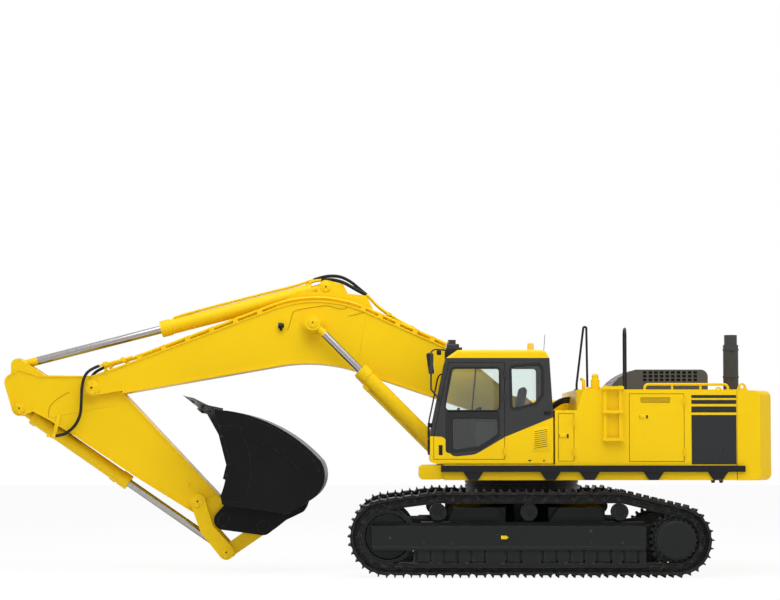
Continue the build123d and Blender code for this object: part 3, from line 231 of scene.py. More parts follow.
def coated(name, colour, shade, edgeWearAndHighlight, amount=0.35, dust=0.15, edge=0.006, grain=(120.0, 0.25), bump=0.02,
           dustColour=(0.42, 0.39, 0.33), wornMetal=0.0, roughShift=0.0, coat=0.0, gloss=0.18, tip=None):
    # paint or cast iron: tone, worn edges that are painted highlights on some finishes, dust and relief from the shared
    # groups
    material, tree, shader = newFinish(name)
    tone = placeGroup(tree, "tone", Color=opaque(colour), Shade=opaque(shade), Amount=amount)
    edgeWearAndHighlightMask = placeGroup(tree, "edge", Radius=edge)["Mask"]
    settle = placeGroup(tree, "dust", Amount=dust)["Mask"]
    relief = placeGroup(tree, "grain", Scale=grain[0], Depth=grain[1])["Height"]
    edged = blendColour(tree, edgeWearAndHighlightMask, tone["Color"], edgeWearAndHighlight)
    if tip is not None:
        edged = blendColour(tree, tipMask(tree, *tip), edged, scoured)
    feed(tree, shader, {
        "Base Color": blendColour(tree, settle, edged, dustColour),
        "Roughness": mathNode(tree, "ADD", tone["Roughness"], roughShift), "Normal": bumped(tree, relief, bump),
        "Specular IOR Level": gloss, "Coat Weight": coat, "Coat Roughness": 0.12,
    })
    if wornMetal:
        feed(tree, shader, {"Metallic": times(tree, edgeWearAndHighlightMask, wornMetal)})
    return material


def metalFinish(name, colour, roughLow, roughHigh):
    material, tree, shader = newFinish(name)
    noise = noiseAt(tree, 30.0, 6.0, 0.5)
    feed(tree, shader, {
        "Base Color": blendColour(tree, noise, colour, tuple(0.82 * part for part in colour)),
        "Roughness": spread(tree, noise, 0.3, 0.7, roughLow, roughHigh), "Metallic": 1.0,
    })
    return material


def rodFinish(name, eyePlace, eyeRadius):
    # chrome rod whose eye, all that lies close to the eye's axis, is painted
    material, tree, shader = newFinish(name)
    painted = placeGroup(tree, "eye", Centre=tuple(eyePlace), Radius=eyeRadius)["Mask"]
    bright = blendColour(tree, noiseAt(tree, 22.0), (0.43, 0.42, 0.41), (0.33, 0.32, 0.31))
    polish = spread(tree, noiseAt(tree, 30.0, 6.0), 0.3, 0.7, 0.10, 0.22)
    feed(tree, shader, {
        "Base Color": blendColour(tree, painted, bright, yellow),
        "Metallic": spread(tree, painted, 0.0, 1.0, 1.0, 0.0),
        "Roughness": mathNode(tree, "MULTIPLY_ADD", painted, 0.2, polish), "Specular IOR Level": 0.15,
    })
    return material


def glassFinish(name, tint, smear):
    material, tree, shader = newFinish(name)
    feed(tree, shader, {
        "Base Color": blendColour(tree, noiseAt(tree, 1.2, 2.0), tint, tuple(0.94 * part for part in tint)),
        "Roughness": spread(tree, noiseAt(tree, 7.0, 5.0), 0.45, 0.8, 0.0, smear),
        "Transmission Weight": 1.0, "IOR": 1.45,
    })
    return material


def clothFinish(name, colour, light):
    # plain weave: two crossed bands of threads
    material, tree, shader = newFinish(name)
    inputs = {"Vector": objectPlace(tree), "Scale": 95.0, "Distortion": 1.2}
    across, along = (
        node(tree, "ShaderNodeTexWave", inputs, bands_direction=axis).outputs["Fac"] for axis in ("X", "Y")
    )
    weave = times(tree, across, along)
    feed(tree, shader, {
        "Base Color": blendColour(tree, weave, colour, light), "Normal": bumped(tree, weave, 0.002),
        "Roughness": spread(tree, noiseAt(tree, 20.0), 0.3, 0.7, 0.8, 0.95), "Sheen Weight": 0.3,
    })
    return material


rodSet = {
    "boomRod": {"node": "boom_ram_rod_left", "joint": "boom_ram_tilt_left", "eye": 0.125, "paint": 0.25},
    "armRod": {"node": "arm_ram_rod", "joint": "arm_ram_tilt", "eye": 0.110, "paint": 0.29},
    "bucketRod": {"node": "bucket_ram_rod", "joint": "bucket_ram_tilt", "eye": 0.110, "paint": 0.20},
}


def rodEye(name):
    # centre of the eye at a rod's far end, from the rod's farthest point
    rod = rodSet[name]
    base = jointAt[rod["joint"]]
    places = [vert.co for vert in nodes[rod["node"]].data.vertices]
    tip = max(places, key=lambda co: math.hypot(co.x - base.x, co.z - base.z))
    reach = Vector((tip.x - base.x, 0.0, tip.z - base.z))
    return base + reach * (1.0 - rod["eye"] / reach.length)


yellow = (0.84, 0.55, 0.005)
yellowWorn = (0.90, 0.66, 0.06)
scoured = (0.16, 0.155, 0.15)
bucketTurn = math.radians(-170.6)
teethWay = (-math.cos(bucketTurn), 0.0, -math.sin(bucketTurn))
teethFrom = Vector(teethWay).dot(jointAt["bucket_curl"])
finishes = {
    "yellow": coated(
        "yellowPaint", yellow, (0.77, 0.48, 0.004), yellowWorn, amount=0.4, dust=0.03, bump=0.0012, coat=0.03,
        gloss=0.12,
    ),
    "casting": coated(
        "yellowCasting", yellow, (0.76, 0.48, 0.004), yellowWorn, amount=0.5, dust=0.03, grain=(60.0, 0.5), bump=0.004,
        roughShift=0.06, gloss=0.12,
    ),
    "dark": coated(
        "darkGreyPaint", (0.036, 0.037, 0.037), (0.026, 0.027, 0.027), (0.09, 0.09, 0.09), dust=0.10, bump=0.001,
        roughShift=0.08,
    ),
    # the frame's light edge colour, with a wide edge, is a painted highlight along its edges
    "frame": coated(
        "trackFramePaint", (0.0105, 0.0125, 0.013), (0.006, 0.007, 0.0075), (0.09, 0.095, 0.095), dust=0.12,
        edge=0.012, bump=0.002, roughShift=0.05, dustColour=(0.06, 0.058, 0.052),
    ),
    "black": coated(
        "blackPaint", (0.012, 0.012, 0.013), (0.008, 0.008, 0.009), (0.05, 0.05, 0.05), dust=0.10, bump=0.0015,
        roughShift=0.05, dustColour=(0.12, 0.115, 0.10),
    ),
    # the track's light edge colour is partly worn steel and partly a painted highlight on the link edges
    "track": coated(
        "trackSteel", (0.0065, 0.0065, 0.007), (0.011, 0.010, 0.009), (0.15, 0.15, 0.145), amount=0.7, dust=0.2,
        edge=0.010, grain=(70.0, 0.8), bump=0.006, wornMetal=0.8, roughShift=0.12, dustColour=(0.04, 0.038, 0.033),
    ),
    "bucket": coated(
        "bucketPaint", (0.0035, 0.0035, 0.0038), (0.007, 0.007, 0.007), (0.10, 0.098, 0.095), amount=0.6, dust=0.06,
        edge=0.008, grain=(45.0, 0.7), bump=0.004, roughShift=0.02, dustColour=(0.05, 0.05, 0.047), gloss=0.12,
        tip=(teethWay, teethFrom + 0.35, teethFrom + 0.62),
    ),
    "hood": coated(
        "hoodGreyPaint", (0.078, 0.080, 0.080), (0.060, 0.061, 0.061), (0.15, 0.15, 0.15), dust=0.03, bump=0.001,
        roughShift=0.08, dustColour=(0.16, 0.16, 0.155),
    ),
    "stack": coated(
        "stackGreyPaint", (0.048, 0.049, 0.048), (0.034, 0.034, 0.033), (0.11, 0.11, 0.105), dust=0.03, bump=0.0015,
        roughShift=0.12,
    ),
    "panel": coated(
        "sidePanelFoil", (0.024, 0.026, 0.027), (0.019, 0.020, 0.021), (0.05, 0.05, 0.05), dust=0.05, bump=0.0006,
    ),
    "frit": coated(
        "blackGlassBorder", (0.006, 0.006, 0.0065), (0.004, 0.004, 0.0045), (0.02, 0.02, 0.02), dust=0.05,
        bump=0.0003, roughShift=-0.16, gloss=0.4,
    ),
    # darker yellow: on the vent mesh it is painted shade in the vent's recess; the grease lines and the house seam take
    # it too
    "ventMesh": coated(
        "darkYellowPaintAndShade", (0.50, 0.31, 0.006), (0.40, 0.25, 0.005), (0.60, 0.40, 0.03), amount=0.6, dust=0.05,
        grain=(160.0, 1.0), bump=0.004, roughShift=0.1, gloss=0.12,
    ),
    "iron": coated(
        "engineIron", (0.06, 0.06, 0.06), (0.035, 0.035, 0.035), (0.14, 0.14, 0.14), grain=(50.0, 0.8), bump=0.005,
        roughShift=0.2, gloss=0.5,
    ),
    "rubber": coated(
        "hoseRubber", (0.016, 0.017, 0.018), (0.010, 0.010, 0.011), (0.03, 0.03, 0.03), dust=0.1, grain=(200.0, 0.5),
        bump=0.001, roughShift=0.2, dustColour=(0.08, 0.08, 0.075),
    ),
    "plastic": coated(
        "consolePlastic", (0.030, 0.031, 0.033), (0.022, 0.022, 0.024), (0.05, 0.05, 0.05), grain=(400.0, 0.5),
        bump=0.0008, roughShift=0.15,
    ),
    "amber": coated(
        "beaconPlastic", (0.95, 0.52, 0.02), (0.80, 0.25, 0.01), (1.0, 0.55, 0.08), grain=(30.0, 0.3), bump=0.001,
        roughShift=-0.15, coat=0.6, gloss=0.5,
    ),
    "chrome": metalFinish("mirrorChrome", (0.66, 0.67, 0.68), 0.03, 0.08),
    "glass": glassFinish("tintedGlass", (0.86, 0.93, 0.90), 0.05),
    "cloth": clothFinish("seatCloth", (0.020, 0.021, 0.024), (0.055, 0.057, 0.062)),
    "lamp": metalFinish("lampSilver", (0.80, 0.80, 0.82), 0.12, 0.25),
}
for name, rod in rodSet.items():
    finishes[name] = rodFinish(name + "Chrome", rodEye(name), rod["paint"])

# nodes that aren't listed are yellow
finishOf = {
    "casting": ("counterweight",),
    "dark": ("cab_upper", "cab_door", "cab_fittings"),
    "hood": ("engine_hood",),
    "stack": ("exhaust_stack",),
    "frame": (
        "car_body", "swing_bearing", "track_frame_left", "track_frame_right", "track_wheels_left", "track_wheels_right",
    ),
    "black": ("step_rail", "hand_rails"),
    "track": ("track_left", "track_right"),
    "bucket": ("bucket",),
    "iron": ("engine",),
    "plastic": ("consoles",),
    "amber": ("beacon",),
    "boomRod": ("boom_ram_rod_left", "boom_ram_rod_right"),
    "armRod": ("arm_ram_rod",),
    "bucketRod": ("bucket_ram_rod",),
    "glass": ("cab_glass", "door_glass"),
    "cloth": ("seat",),
}
for name, solid in nodes.items():
    finish = next((finish for finish, names in finishOf.items() if name in names), "yellow")
    solid.data.materials.clear()
    solid.data.materials.append(finishes[finish])
print("finishes laid on", len(nodes), "nodes")


# modelling helpers: each adds a shape to a bmesh

def roundEdges(bm, edges, width, steps):
    bmesh.ops.bevel(
        bm, geom=edges, offset=width, segments=steps, profile=0.5, affect="EDGES", material=-1, clamp_overlap=True
    )


def addBlock(bm, low, high, width=0.004, steps=2, tilt=0.0):
    # tilt is in degrees about Y
    low, high = Vector(low), Vector(high)
    place = Matrix.Translation((low + high) / 2)
    if tilt:
        place = place @ Matrix.Rotation(math.radians(tilt), 4, "Y")
    made = bmesh.ops.create_cube(bm, size=1.0, matrix=place @ Matrix.Diagonal((*(high - low), 1.0)))
    if width:
        verts = set(made["verts"])
        roundEdges(bm, [edge for edge in bm.edges if verts.issuperset(edge.verts)], width, steps)


def addDrum(bm, start, end, radius, sides=32, width=0.003, tip=None):
    start, end = Vector(start), Vector(end)
    axis = end - start
    turn = axis.to_track_quat("Z", "Y").to_matrix().to_4x4()
    made = bmesh.ops.create_cone(
        bm, cap_ends=True, segments=sides, radius1=radius, radius2=radius if tip is None else tip, depth=axis.length,
        matrix=Matrix.Translation((start + end) / 2) @ turn,
    )
    if width:
        verts = set(made["verts"])
        rims = [
            edge for edge in bm.edges
            if verts.issuperset(edge.verts) and any(len(face.verts) == sides for face in edge.link_faces)
        ]
        roundEdges(bm, rims, width, 2)


boltForm = {"sink": 0.002, "washer": (1.05, 0.25), "head": (0.8, 0.2, 0.95), "round": 0.08}


def addBolt(bm, place, axis, size):
    # washer and hexagon head, in shares of the bolt's size
    place, axis = Vector(place), Vector(axis).normalized()
    radius, top = boltForm["washer"]
    addDrum(bm, place - axis * boltForm["sink"], place + axis * size * top, size * radius, 16, 0)
    radius, foot, top = boltForm["head"]
    addDrum(bm, place + axis * size * foot, place + axis * size * top, size * radius, 6, size * boltForm["round"])


def addRing(bm, centre, axis, radius, count, size):
    axis = Vector(axis).normalized()
    side = axis.orthogonal().normalized()
    for index in range(count):
        spoke = Matrix.Rotation(2 * math.pi * index / count, 3, axis) @ side
        addBolt(bm, Vector(centre) + spoke * radius, axis, size)


def raiseFaces(bm, faces, distance):
    raised = bmesh.ops.extrude_face_region(bm, geom=faces)["geom"]
    lifted = [item for item in raised if isinstance(item, bmesh.types.BMVert)]
    bmesh.ops.translate(bm, verts=lifted, vec=(0.0, distance, 0.0))
    bmesh.ops.recalc_face_normals(bm, faces=bm.faces)


def mirrored(points, side):
    return [(x, y * side, z) for x, y, z in points]


def addShapes(bm, shapes, side=1, shift=(0.0, 0.0, 0.0)):
    # a fitting's blocks, drums, bolts and rings, as given for the left or mirrored to the right
    def moved(*points):
        return [tuple(a + b for a, b in zip(point, shift)) for point in mirrored(points, side)]

    for low, high, *form in shapes.get("blocks", ()):
        low, high = moved(low, high)
        near, far = sorted((low[1], high[1]))
        addBlock(bm, (low[0], near, low[2]), (high[0], far, high[2]), *form)
    for start, end, *form in shapes.get("drums", ()):
        addDrum(bm, *moved(start, end), *form)
    for place, size in shapes.get("bolts", ()):
        addBolt(bm, *moved(place), (0, side, 0), size)
    for centre, axis, *form in shapes.get("rings", ()):
        addRing(bm, *moved(centre), *mirrored([axis], side), *form)


# pieces

def newPiece(name, mesh, finish):
    mesh.materials.append(finishes[finish])
    mesh.shade_smooth()
    piece = bpy.data.objects.new(name, mesh)
    bpy.context.scene.collection.objects.link(piece)
    return piece


def makePiece(name, bm, finish, body, sharp=40):
    mesh = bpy.data.meshes.new(name)
    bm.to_mesh(mesh)
    bm.free()
    piece = newPiece(name, mesh, finish)
    mesh.set_sharp_from_angle(angle=math.radians(sharp))
    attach(piece, body)
    return piece


def makeFittings(fittings):
    for name, fitting in fittings.items():
        for side, label in bothSides if fitting.get("pair") else ((1, ""),):
            bm = bmesh.new()
            addShapes(bm, fitting, side)
            body = fitting["body"].format(label.lower())
            makePiece(name + label, bm, fitting["finish"], body)


curveSet = {"hoseSides": 3, "beadSides": 2, "order": 3, "steps": 12}


def newCurve(name, radius, sides):
    curve = bpy.data.curves.new(name, "CURVE")
    curve.dimensions = "3D"
    curve.bevel_depth = radius
    curve.bevel_resolution = sides
    return curve


def addSpline(curve, kind, places):
    spline = curve.splines.new(kind)
    spline.points.add(len(places) - 1)
    for point, place in zip(spline.points, places):
        point.co = (*place, 1.0)
    return spline


def curveMesh(name, curve, finish):
    holder = bpy.data.objects.new(name + "Path", curve)
    mesh = bpy.data.meshes.new_from_object(holder)
    bpy.data.objects.remove(holder)
    bpy.data.curves.remove(curve)
    mesh.name = name
    mesh.materials.clear()
    return newPiece(name, mesh, finish)


def hoseMesh(name, points, radius, finish):
    curve = newCurve(name, radius, curveSet["hoseSides"])
    curve.use_fill_caps = True
    spline = addSpline(curve, "NURBS", points)
    spline.order_u = curveSet["order"]
    spline.use_endpoint_u = True
    spline.resolution_u = curveSet["steps"]
    return curveMesh(name, curve, finish)


def layLine(name, points, radius, finish, body):
    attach(hoseMesh(name, points, radius, finish), body)


def layBead(name, loops, radius, body):
    curve = newCurve(name, radius, curveSet["beadSides"])
    for loop in loops:
        addSpline(curve, "POLY", loop).use_cyclic_u = True
    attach(curveMesh(name, curve, "rubber"), body)


# operator's seat: cushions stand for the plain solid

seatSet = {
    "origin": (0.0, 1.1075, 1.722), "voxel": 0.012, "swell": 0.02, "frames": 14, "pressure": 4.0, "round": 0.045,
    "cushions": {
        "seatCushion": ((0.12, -0.25, 0.36), (0.62, 0.25, 0.46), 0.0),
        "seatBack": ((0.10, -0.24, 0.50), (0.18, 0.24, 1.10), -0.19),
    },
    "base": {"blocks": [
        ((0.17, -0.19, 0.002), (0.50, 0.19, 0.06), 0.012), ((0.11, -0.22, 0.28), (0.58, 0.22, 0.335), 0.015),
        ((0.12, -0.263, 0.34), (0.17, -0.247, 0.66), 0.005), ((0.12, 0.247, 0.34), (0.17, 0.263, 0.66), 0.005),
        *[((0.20, -0.17, z), (0.47, 0.17, z + 0.045), 0.018, 3) for z in (0.06, 0.115, 0.17, 0.225)],
    ]},
}


def applyModifiers(piece):
    bpy.context.view_layer.update()
    shaped = piece.evaluated_get(bpy.context.evaluated_depsgraph_get())
    mesh = bpy.data.meshes.new_from_object(shaped)
    old = piece.data
    piece.modifiers.clear()
    piece.data = mesh
    bpy.data.meshes.remove(old)


def swell(piece):
    # cloth filled with air, held near its start so that it keeps its size
    remesh = piece.modifiers.new("remesh", "REMESH")
    remesh.mode = "VOXEL"
    remesh.voxel_size = seatSet["voxel"]
    applyModifiers(piece)
    before = [vert.co.copy() for vert in piece.data.vertices]
    cloth = piece.modifiers.new("cloth", "CLOTH")
    cloth.settings.use_pressure = True
    cloth.settings.uniform_pressure_force = seatSet["pressure"]
    cloth.settings.effector_weights.gravity = 0.0
    for step in range(1, seatSet["frames"] + 1):
        bpy.context.scene.frame_set(step)
    applyModifiers(piece)
    bpy.context.scene.frame_set(1)
    for vert, start in zip(piece.data.vertices, before):
        shift = vert.co - start
        if shift.length > seatSet["swell"]:
            vert.co = start + shift.normalized() * seatSet["swell"]
    piece.data.shade_smooth()


def makeSeat():
    origin = seatSet["origin"]
    pieces = []
    for name, (low, high, lean) in seatSet["cushions"].items():
        bm = bmesh.new()
        addShapes(bm, {"blocks": [(low, high, seatSet["round"], 4)]}, 1, origin)
        if lean:
            corner = (origin[0] + low[0], 0, origin[2] + low[2])
            bmesh.ops.rotate(bm, verts=bm.verts, cent=corner, matrix=Matrix.Rotation(lean, 3, "Y"))
        pieces.append(makePiece(name, bm, "cloth", "upper", sharp=60))
    for piece in pieces:
        swell(piece)
    bm = bmesh.new()
    addShapes(bm, seatSet["base"], 1, origin)
    pieces.append(makePiece("seatBase", bm, "plastic", "upper"))
    for piece in pieces:
        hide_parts("seat")


makeSeat()
print("seat made")


# hoses that cross the joints

ramHose = {"radius": 0.020, "bodies": ("boom", "arm_barrel"), "start": (2.6, 0.0, 4.4), "end": (3.15, 0.0, 4.5)}
hoseSet = {
    "armHose": {
        "radius": 0.024, "bodies": ("boom", "arm"), "start": (6.45, 0.0, 3.12), "end": (6.95, 0.0, 2.30),
        "path": (
            (6.50, 0.350, 3.148), (6.60, 0.375, 3.11), (6.71, 0.390, 3.02), (6.76, 0.390, 2.84), (6.765, 0.385, 2.62),
            (6.775, 0.370, 2.42), (6.84, 0.335, 2.26), (6.96, 0.300, 2.14), (7.10, 0.280, 2.075), (7.24, 0.275, 2.068),
        ),
    },
    "ramHoseOuter": {
        **ramHose,
        "path": (
            (2.392, 0.10, 4.262), (2.50, 0.10, 4.35), (2.64, 0.10, 4.47), (2.80, 0.095, 4.55), (2.98, 0.08, 4.56),
            (3.12, 0.055, 4.53), (3.215, 0.045, 4.50),
        ),
    },
    "ramHoseInner": {
        **ramHose,
        "path": (
            (2.392, 0.16, 4.262), (2.48, 0.16, 4.30), (2.62, 0.16, 4.38), (2.76, 0.15, 4.46), (2.92, 0.11, 4.50),
            (3.02, 0.09, 4.50), (3.095, 0.075, 4.49),
        ),
    },
}
supplySet = {
    "radius": 0.018, "bodies": ("upper", "boom"), "start": (-0.5, 0.0, 2.5), "end": (-0.08, 0.0, 2.62),
    "count": 3, "pitch": 0.07, "lift": 0.03, "head": ((-0.05, 2.645), (0.06, 2.645)),
    "foot": ((-0.75, 2.60), (-0.66, 2.60), (-0.56, 2.55), (-0.44, 2.46), (-0.32, 2.40), (-0.20, 2.43), (-0.13, 2.54)),
}


def layHose(name, path, hose):
    piece = hoseMesh(name, path, hose["radius"], "rubber")
    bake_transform(piece)


def makeHoses():
    for side, label in bothSides:
        for name, hose in hoseSet.items():
            layHose(name + label, mirrored(hose["path"], side), hose)
        for index in range(supplySet["count"]):
            y = side * supplySet["pitch"] * (index + 1)
            foot = [(x, y, z + supplySet["lift"] * index) for x, z in supplySet["foot"]]
            head = [(x, y, z) for x, z in supplySet["head"]]
            layHose("supplyHose" + label + str(index + 1), foot + head, supplySet)


makeHoses()
print("hoses laid")


# dark side panel with its stripes, and the seam in front of the counterweight

panelFittings = {
    "sidePanel": {"finish": "panel", "body": "upper", "pair": True, "blocks": [
        ((-3.098, 1.5885, low), (-2.432, 1.593, high), 0.0012, 1)
        for low, high in ((1.652, 2.381), (2.418, 2.507), (2.544, 2.603), (2.632, 2.676))
    ]},
    "houseSeam": {"finish": "ventMesh", "body": "upper", "pair": True, "blocks": [
        ((-3.1155, 1.5885, 1.655), (-3.1045, 1.5912, 2.744), 0.0008, 1),
    ]},
}
makeFittings(panelFittings)
print("side panels laid")


# pin ends with their keeper plates and bolts: body, place, face, radius and height

pinSet = {
    "boomFootPins": ("upper", "boom_lift", 0.380, 0.115, 0.016),
    "armPins": ("boom", "arm_swing", 0.348, 0.105, 0.014),
    "armRamPins": ("boom", "arm_ram_tilt", 0.140, 0.080, 0.014),
    "bucketRamPins": ("arm", "bucket_ram_tilt", 0.257, 0.085, 0.012),
    "guidePins": ("guides", "guide_turn", 0.345, 0.090, 0.012),
    "rodEndPins": ("guides", "bucket_rod_eye", 0.345, 0.085, 0.012),
}
# shares of the pin's radius
pinForm = {
    "cap": 0.62, "ring": 0.8, "bolts": 6, "bolt": 0.1, "keeper": 0.24, "keeperSpan": (0.98, 0.58), "nipple": 0.17,
}
boomPinSet = {"face": 0.576, "radius": 0.080, "proud": 0.006}


def pinEnd(bm, place, y, side, radius, proud):
    # the grease nipple is returned as a bmesh of its own
    def at(distance, across=0.0, down=0.0):
        return place.x + across * radius, (y + distance) * side, place.z - down * radius

    addDrum(bm, at(-0.001), at(proud), radius, 40, 0.004)
    addDrum(bm, at(proud - 0.002), at(proud + 0.006), radius * pinForm["cap"], 32, 0.003)
    addRing(bm, at(proud), (0, side, 0), radius * pinForm["ring"], pinForm["bolts"], radius * pinForm["bolt"])
    low, high = sorted((proud - 0.004, proud + 0.010), key=lambda distance: distance * side)
    foot, head = pinForm["keeperSpan"]
    addBlock(bm, at(low, -pinForm["keeper"], foot), at(high, pinForm["keeper"], head), 0.003)
    nipple = bmesh.new()
    addDrum(nipple, at(proud + 0.005), at(proud + 0.009), radius * pinForm["nipple"], 16, 0.001)
    return nipple


def makePins():
    places = {**jointAt, "bucket_rod_eye": rodEye("bucketRod")}
    for name, (body, place, y, radius, proud) in pinSet.items():
        bm = bmesh.new()
        for side, label in bothSides:
            nipple = pinEnd(bm, places[place], y, side, radius, proud)
            makePiece(name + "Nipple" + label, nipple, "black", body)
        makePiece(name, bm, "yellow", body)
    eye = rodEye("boomRod")
    for side, label in bothSides:
        bm = bmesh.new()
        nipple = pinEnd(bm, eye, boomPinSet["face"], side, boomPinSet["radius"], boomPinSet["proud"])
        body = "boom_rod_" + label.lower()
        makePiece("boomRamPin" + label, bm, "yellow", body)
        makePiece("boomRamNipple" + label, nipple, "black", body)


makePins()
print("pin ends made")


# hard pipes over the boom's crest, along the arm ram and at the boom's nose, with grease lines and weld beads

pipeSet = {
    "radius": 0.019, "ramRadius": 0.0171, "offsets": (0.10, 0.16), "ramOffsets": {"barrel": 0.045, "short": 0.075},
    "crest": (
        (2.40, 4.268), (2.32, 4.19), (2.22, 4.075), (2.05, 3.955), (1.878, 3.845), (1.50, 3.645), (1.10, 3.43),
        (1.0, 3.34),
    ),
    "barrel": (
        (3.21, 4.502), (3.32, 4.466), (3.45, 4.42), (3.738, 4.344), (3.933, 4.298), (5.30, 3.945), (5.385, 3.905),
    ),
    "short": ((3.09, 4.492), (3.18, 4.483), (3.25, 4.468), (3.29, 4.43)),
    "clampAt": ((2.05, 3.955), (1.69, 3.745), (1.30, 3.536)),
    "clamp": {"blocks": [
        ((-0.035, -0.20, -0.028), (0.035, 0.20, 0.028), 0.006, 2, -29.0),
        *[((-0.025, y - 0.02, -0.12), (0.025, y + 0.02, -0.02), 0.004, 1) for y in (-0.13, 0.13)],
    ]},
}
boomFace, armFace, seamSink = 0.3165, 0.2335, 0.003
noseSet = {
    "radius": 0.022,
    "path": (
        (6.00, 0.235, 3.290), (6.15, 0.240, 3.246), (6.32, 0.29, 3.20), (6.42, 0.335, 3.172), (6.52, 0.355, 3.140),
    ),
}
# finish, body, face, radius and side-view path
lineSet = {
    "boomGreaseLine{}1": ("ventMesh", "boom", boomFace, 0.006, (
        (3.61, 3.70), (3.575, 3.793), (3.54, 3.951), (3.504, 4.005), (3.284, 4.043), (3.072, 4.075), (2.965, 4.076),
        (2.842, 4.031), (2.683, 4.022), (2.665, 4.13),
    )),
    "boomGreaseLine{}2": ("ventMesh", "boom", boomFace, 0.006, (
        (2.683, 3.916), (2.577, 3.934), (2.417, 3.979), (2.312, 4.00),
    )),
    "armGreaseLine{}": ("ventMesh", "arm", armFace, 0.006, (
        (6.977, 2.750), (7.13, 2.67), (7.26, 2.55), (7.296, 2.442), (7.283, 2.350),
    )),
    "boomSeam{}": ("yellow", "boom", boomFace - seamSink, 0.007, ((2.409, 3.90), (2.506, 3.30))),
    "armSeam{}": ("yellow", "arm", armFace - seamSink, 0.007, ((7.283, 2.357), (6.76, 2.475), (6.25, 2.54))),
}
noseFittings = {
    "noseClamps": {"finish": "yellow", "body": "boom", "pair": True, "blocks": [
        ((6.115, 0.20, 3.205), (6.175, 0.275, 3.285), 0.008, 2, 15),
        ((6.36, 0.315, 3.150), (6.44, 0.395, 3.212), 0.008, 2, 15),
        ((6.375, 0.300, 3.02), (6.425, 0.330, 3.18), 0.006),
    ]},
    "hoseBracket": {
        "finish": "yellow", "body": "arm", "pair": True,
        "blocks": [
            ((7.135, 0.243, 2.05), (7.195, 0.256, 2.40), 0.004, 2, -14),
            ((7.17, 0.245, 2.035), (7.235, 0.305, 2.100), 0.008),
        ],
        "drums": [((7.23, 0.275, 2.068), (7.31, 0.275, 2.078), 0.020, 6, 0.002)],
        "bolts": [((5.127, 0.232, 1.335), 0.026)],
    },
}


def makePipes():
    for side, label in bothSides:
        for index, y in enumerate(pipeSet["offsets"]):
            points = [(x, y * side, z) for x, z in pipeSet["crest"]]
            layLine("crestPipe" + label + str(index + 1), points, pipeSet["radius"], "yellow", "boom")
        for name, y in pipeSet["ramOffsets"].items():
            points = [(x, y * side, z) for x, z in pipeSet[name]]
            layLine(name + "Pipe" + label, points, pipeSet["ramRadius"], "yellow", "arm_barrel")
        layLine("nosePipe" + label, mirrored(noseSet["path"], side), noseSet["radius"], "yellow", "boom")
        for name, (finish, body, face, radius, path) in lineSet.items():
            layLine(name.format(label), [(x, side * face, z) for x, z in path], radius, finish, body)
    bm = bmesh.new()
    for x, z in pipeSet["clampAt"]:
        addShapes(bm, pipeSet["clamp"], 1, (x, 0.0, z))
    makePiece("crestClamps", bm, "yellow", "boom")


makePipes()
makeFittings(noseFittings)
print("pipes laid")


# windows: a bead round each pane and the doorway, and black borders on the left panes

sealSet = {
    "radius": 0.010, "smallest": 0.05, "doorwayY": 1.5195,
    "doorway": ((1.385, 1.726), (1.385, 2.054), (1.160, 3.161), (0.334, 3.161), (0.334, 1.726)),
}
borderSet = {
    "near": 1.5895, "far": 1.5922, "leftPanes": 1.566, "door": 0.018, "quarter": 0.036,
    "lowerPane": 2.4, "lowerTop": 2.2, "front": 0.10, "rear": -0.022, "top": 0.108, "bottom": -0.05,
}


def paneRims(name):
    bm = bmesh.new()
    bm.from_mesh(nodes[name].data)
    bmesh.ops.remove_doubles(bm, verts=bm.verts, dist=0.00001)
    bmesh.ops.dissolve_limit(bm, angle_limit=math.radians(2), verts=bm.verts, edges=bm.edges)
    rims = [[vert.co.copy() for vert in face.verts] for face in bm.faces if face.calc_area() > sealSet["smallest"]]
    bm.free()
    return rims


def makeSeals():
    layBead("cabSeals", paneRims("cab_glass"), sealSet["radius"], "upper")
    layBead("doorSeals", paneRims("door_glass"), sealSet["radius"], "cab_door")
    doorway = [(x, sealSet["doorwayY"], z) for x, z in sealSet["doorway"]]
    layBead("doorwaySeal", [doorway], sealSet["radius"], "upper")


def grownLoop(loop, distance):
    # closed side-view outline moved outwards by a distance
    count = len(loop)
    area = sum(loop[index - 1].x * loop[index].z - loop[index].x * loop[index - 1].z for index in range(count))
    turn = 1.0 if area > 0 else -1.0
    grown = []
    for index in range(count):
        before = (loop[index] - loop[index - 1]).normalized()
        after = (loop[(index + 1) % count] - loop[index]).normalized()
        out = Vector((before.z + after.z, 0.0, -before.x - after.x)) * turn
        grown.append(loop[index] + out.normalized() * distance)
    return grown


def lowerBorder(rim, middle):
    # the door's lower pane has a wider border at its front and top
    return [
        Vector((
            point.x + borderSet["front" if point.x > middle.x else "rear"], point.y,
            point.z + borderSet["top" if point.z > borderSet["lowerTop"] else "bottom"],
        ))
        for point in rim
    ]


def addBorder(bm, inner, outer):
    # flat ring between two outlines, given a thickness
    edges = []
    for loop in (inner, outer):
        verts = [bm.verts.new((point.x, borderSet["near"], point.z)) for point in loop]
        edges += [bm.edges.new((verts[index - 1], verts[index])) for index in range(len(verts))]
    raiseFaces(bm, bmesh.ops.bridge_loops(bm, edges=edges)["faces"], borderSet["far"] - borderSet["near"])


def makeBorders():
    for name, glass, body, width in (
        ("doorPaneBorder", "door_glass", "cab_door", borderSet["door"]),
        ("quarterPaneBorder", "cab_glass", "upper", borderSet["quarter"]),
    ):
        bm = bmesh.new()
        for rim in paneRims(glass):
            middle = sum(rim, Vector()) / len(rim)
            if middle.y < borderSet["leftPanes"]:
                continue
            lower = glass == "door_glass" and middle.z < borderSet["lowerPane"]
            addBorder(bm, rim, lowerBorder(rim, middle) if lower else grownLoop(rim, width))
        makePiece(name, bm, "frit", body)


makeSeals()
makeBorders()
print("window seals laid")
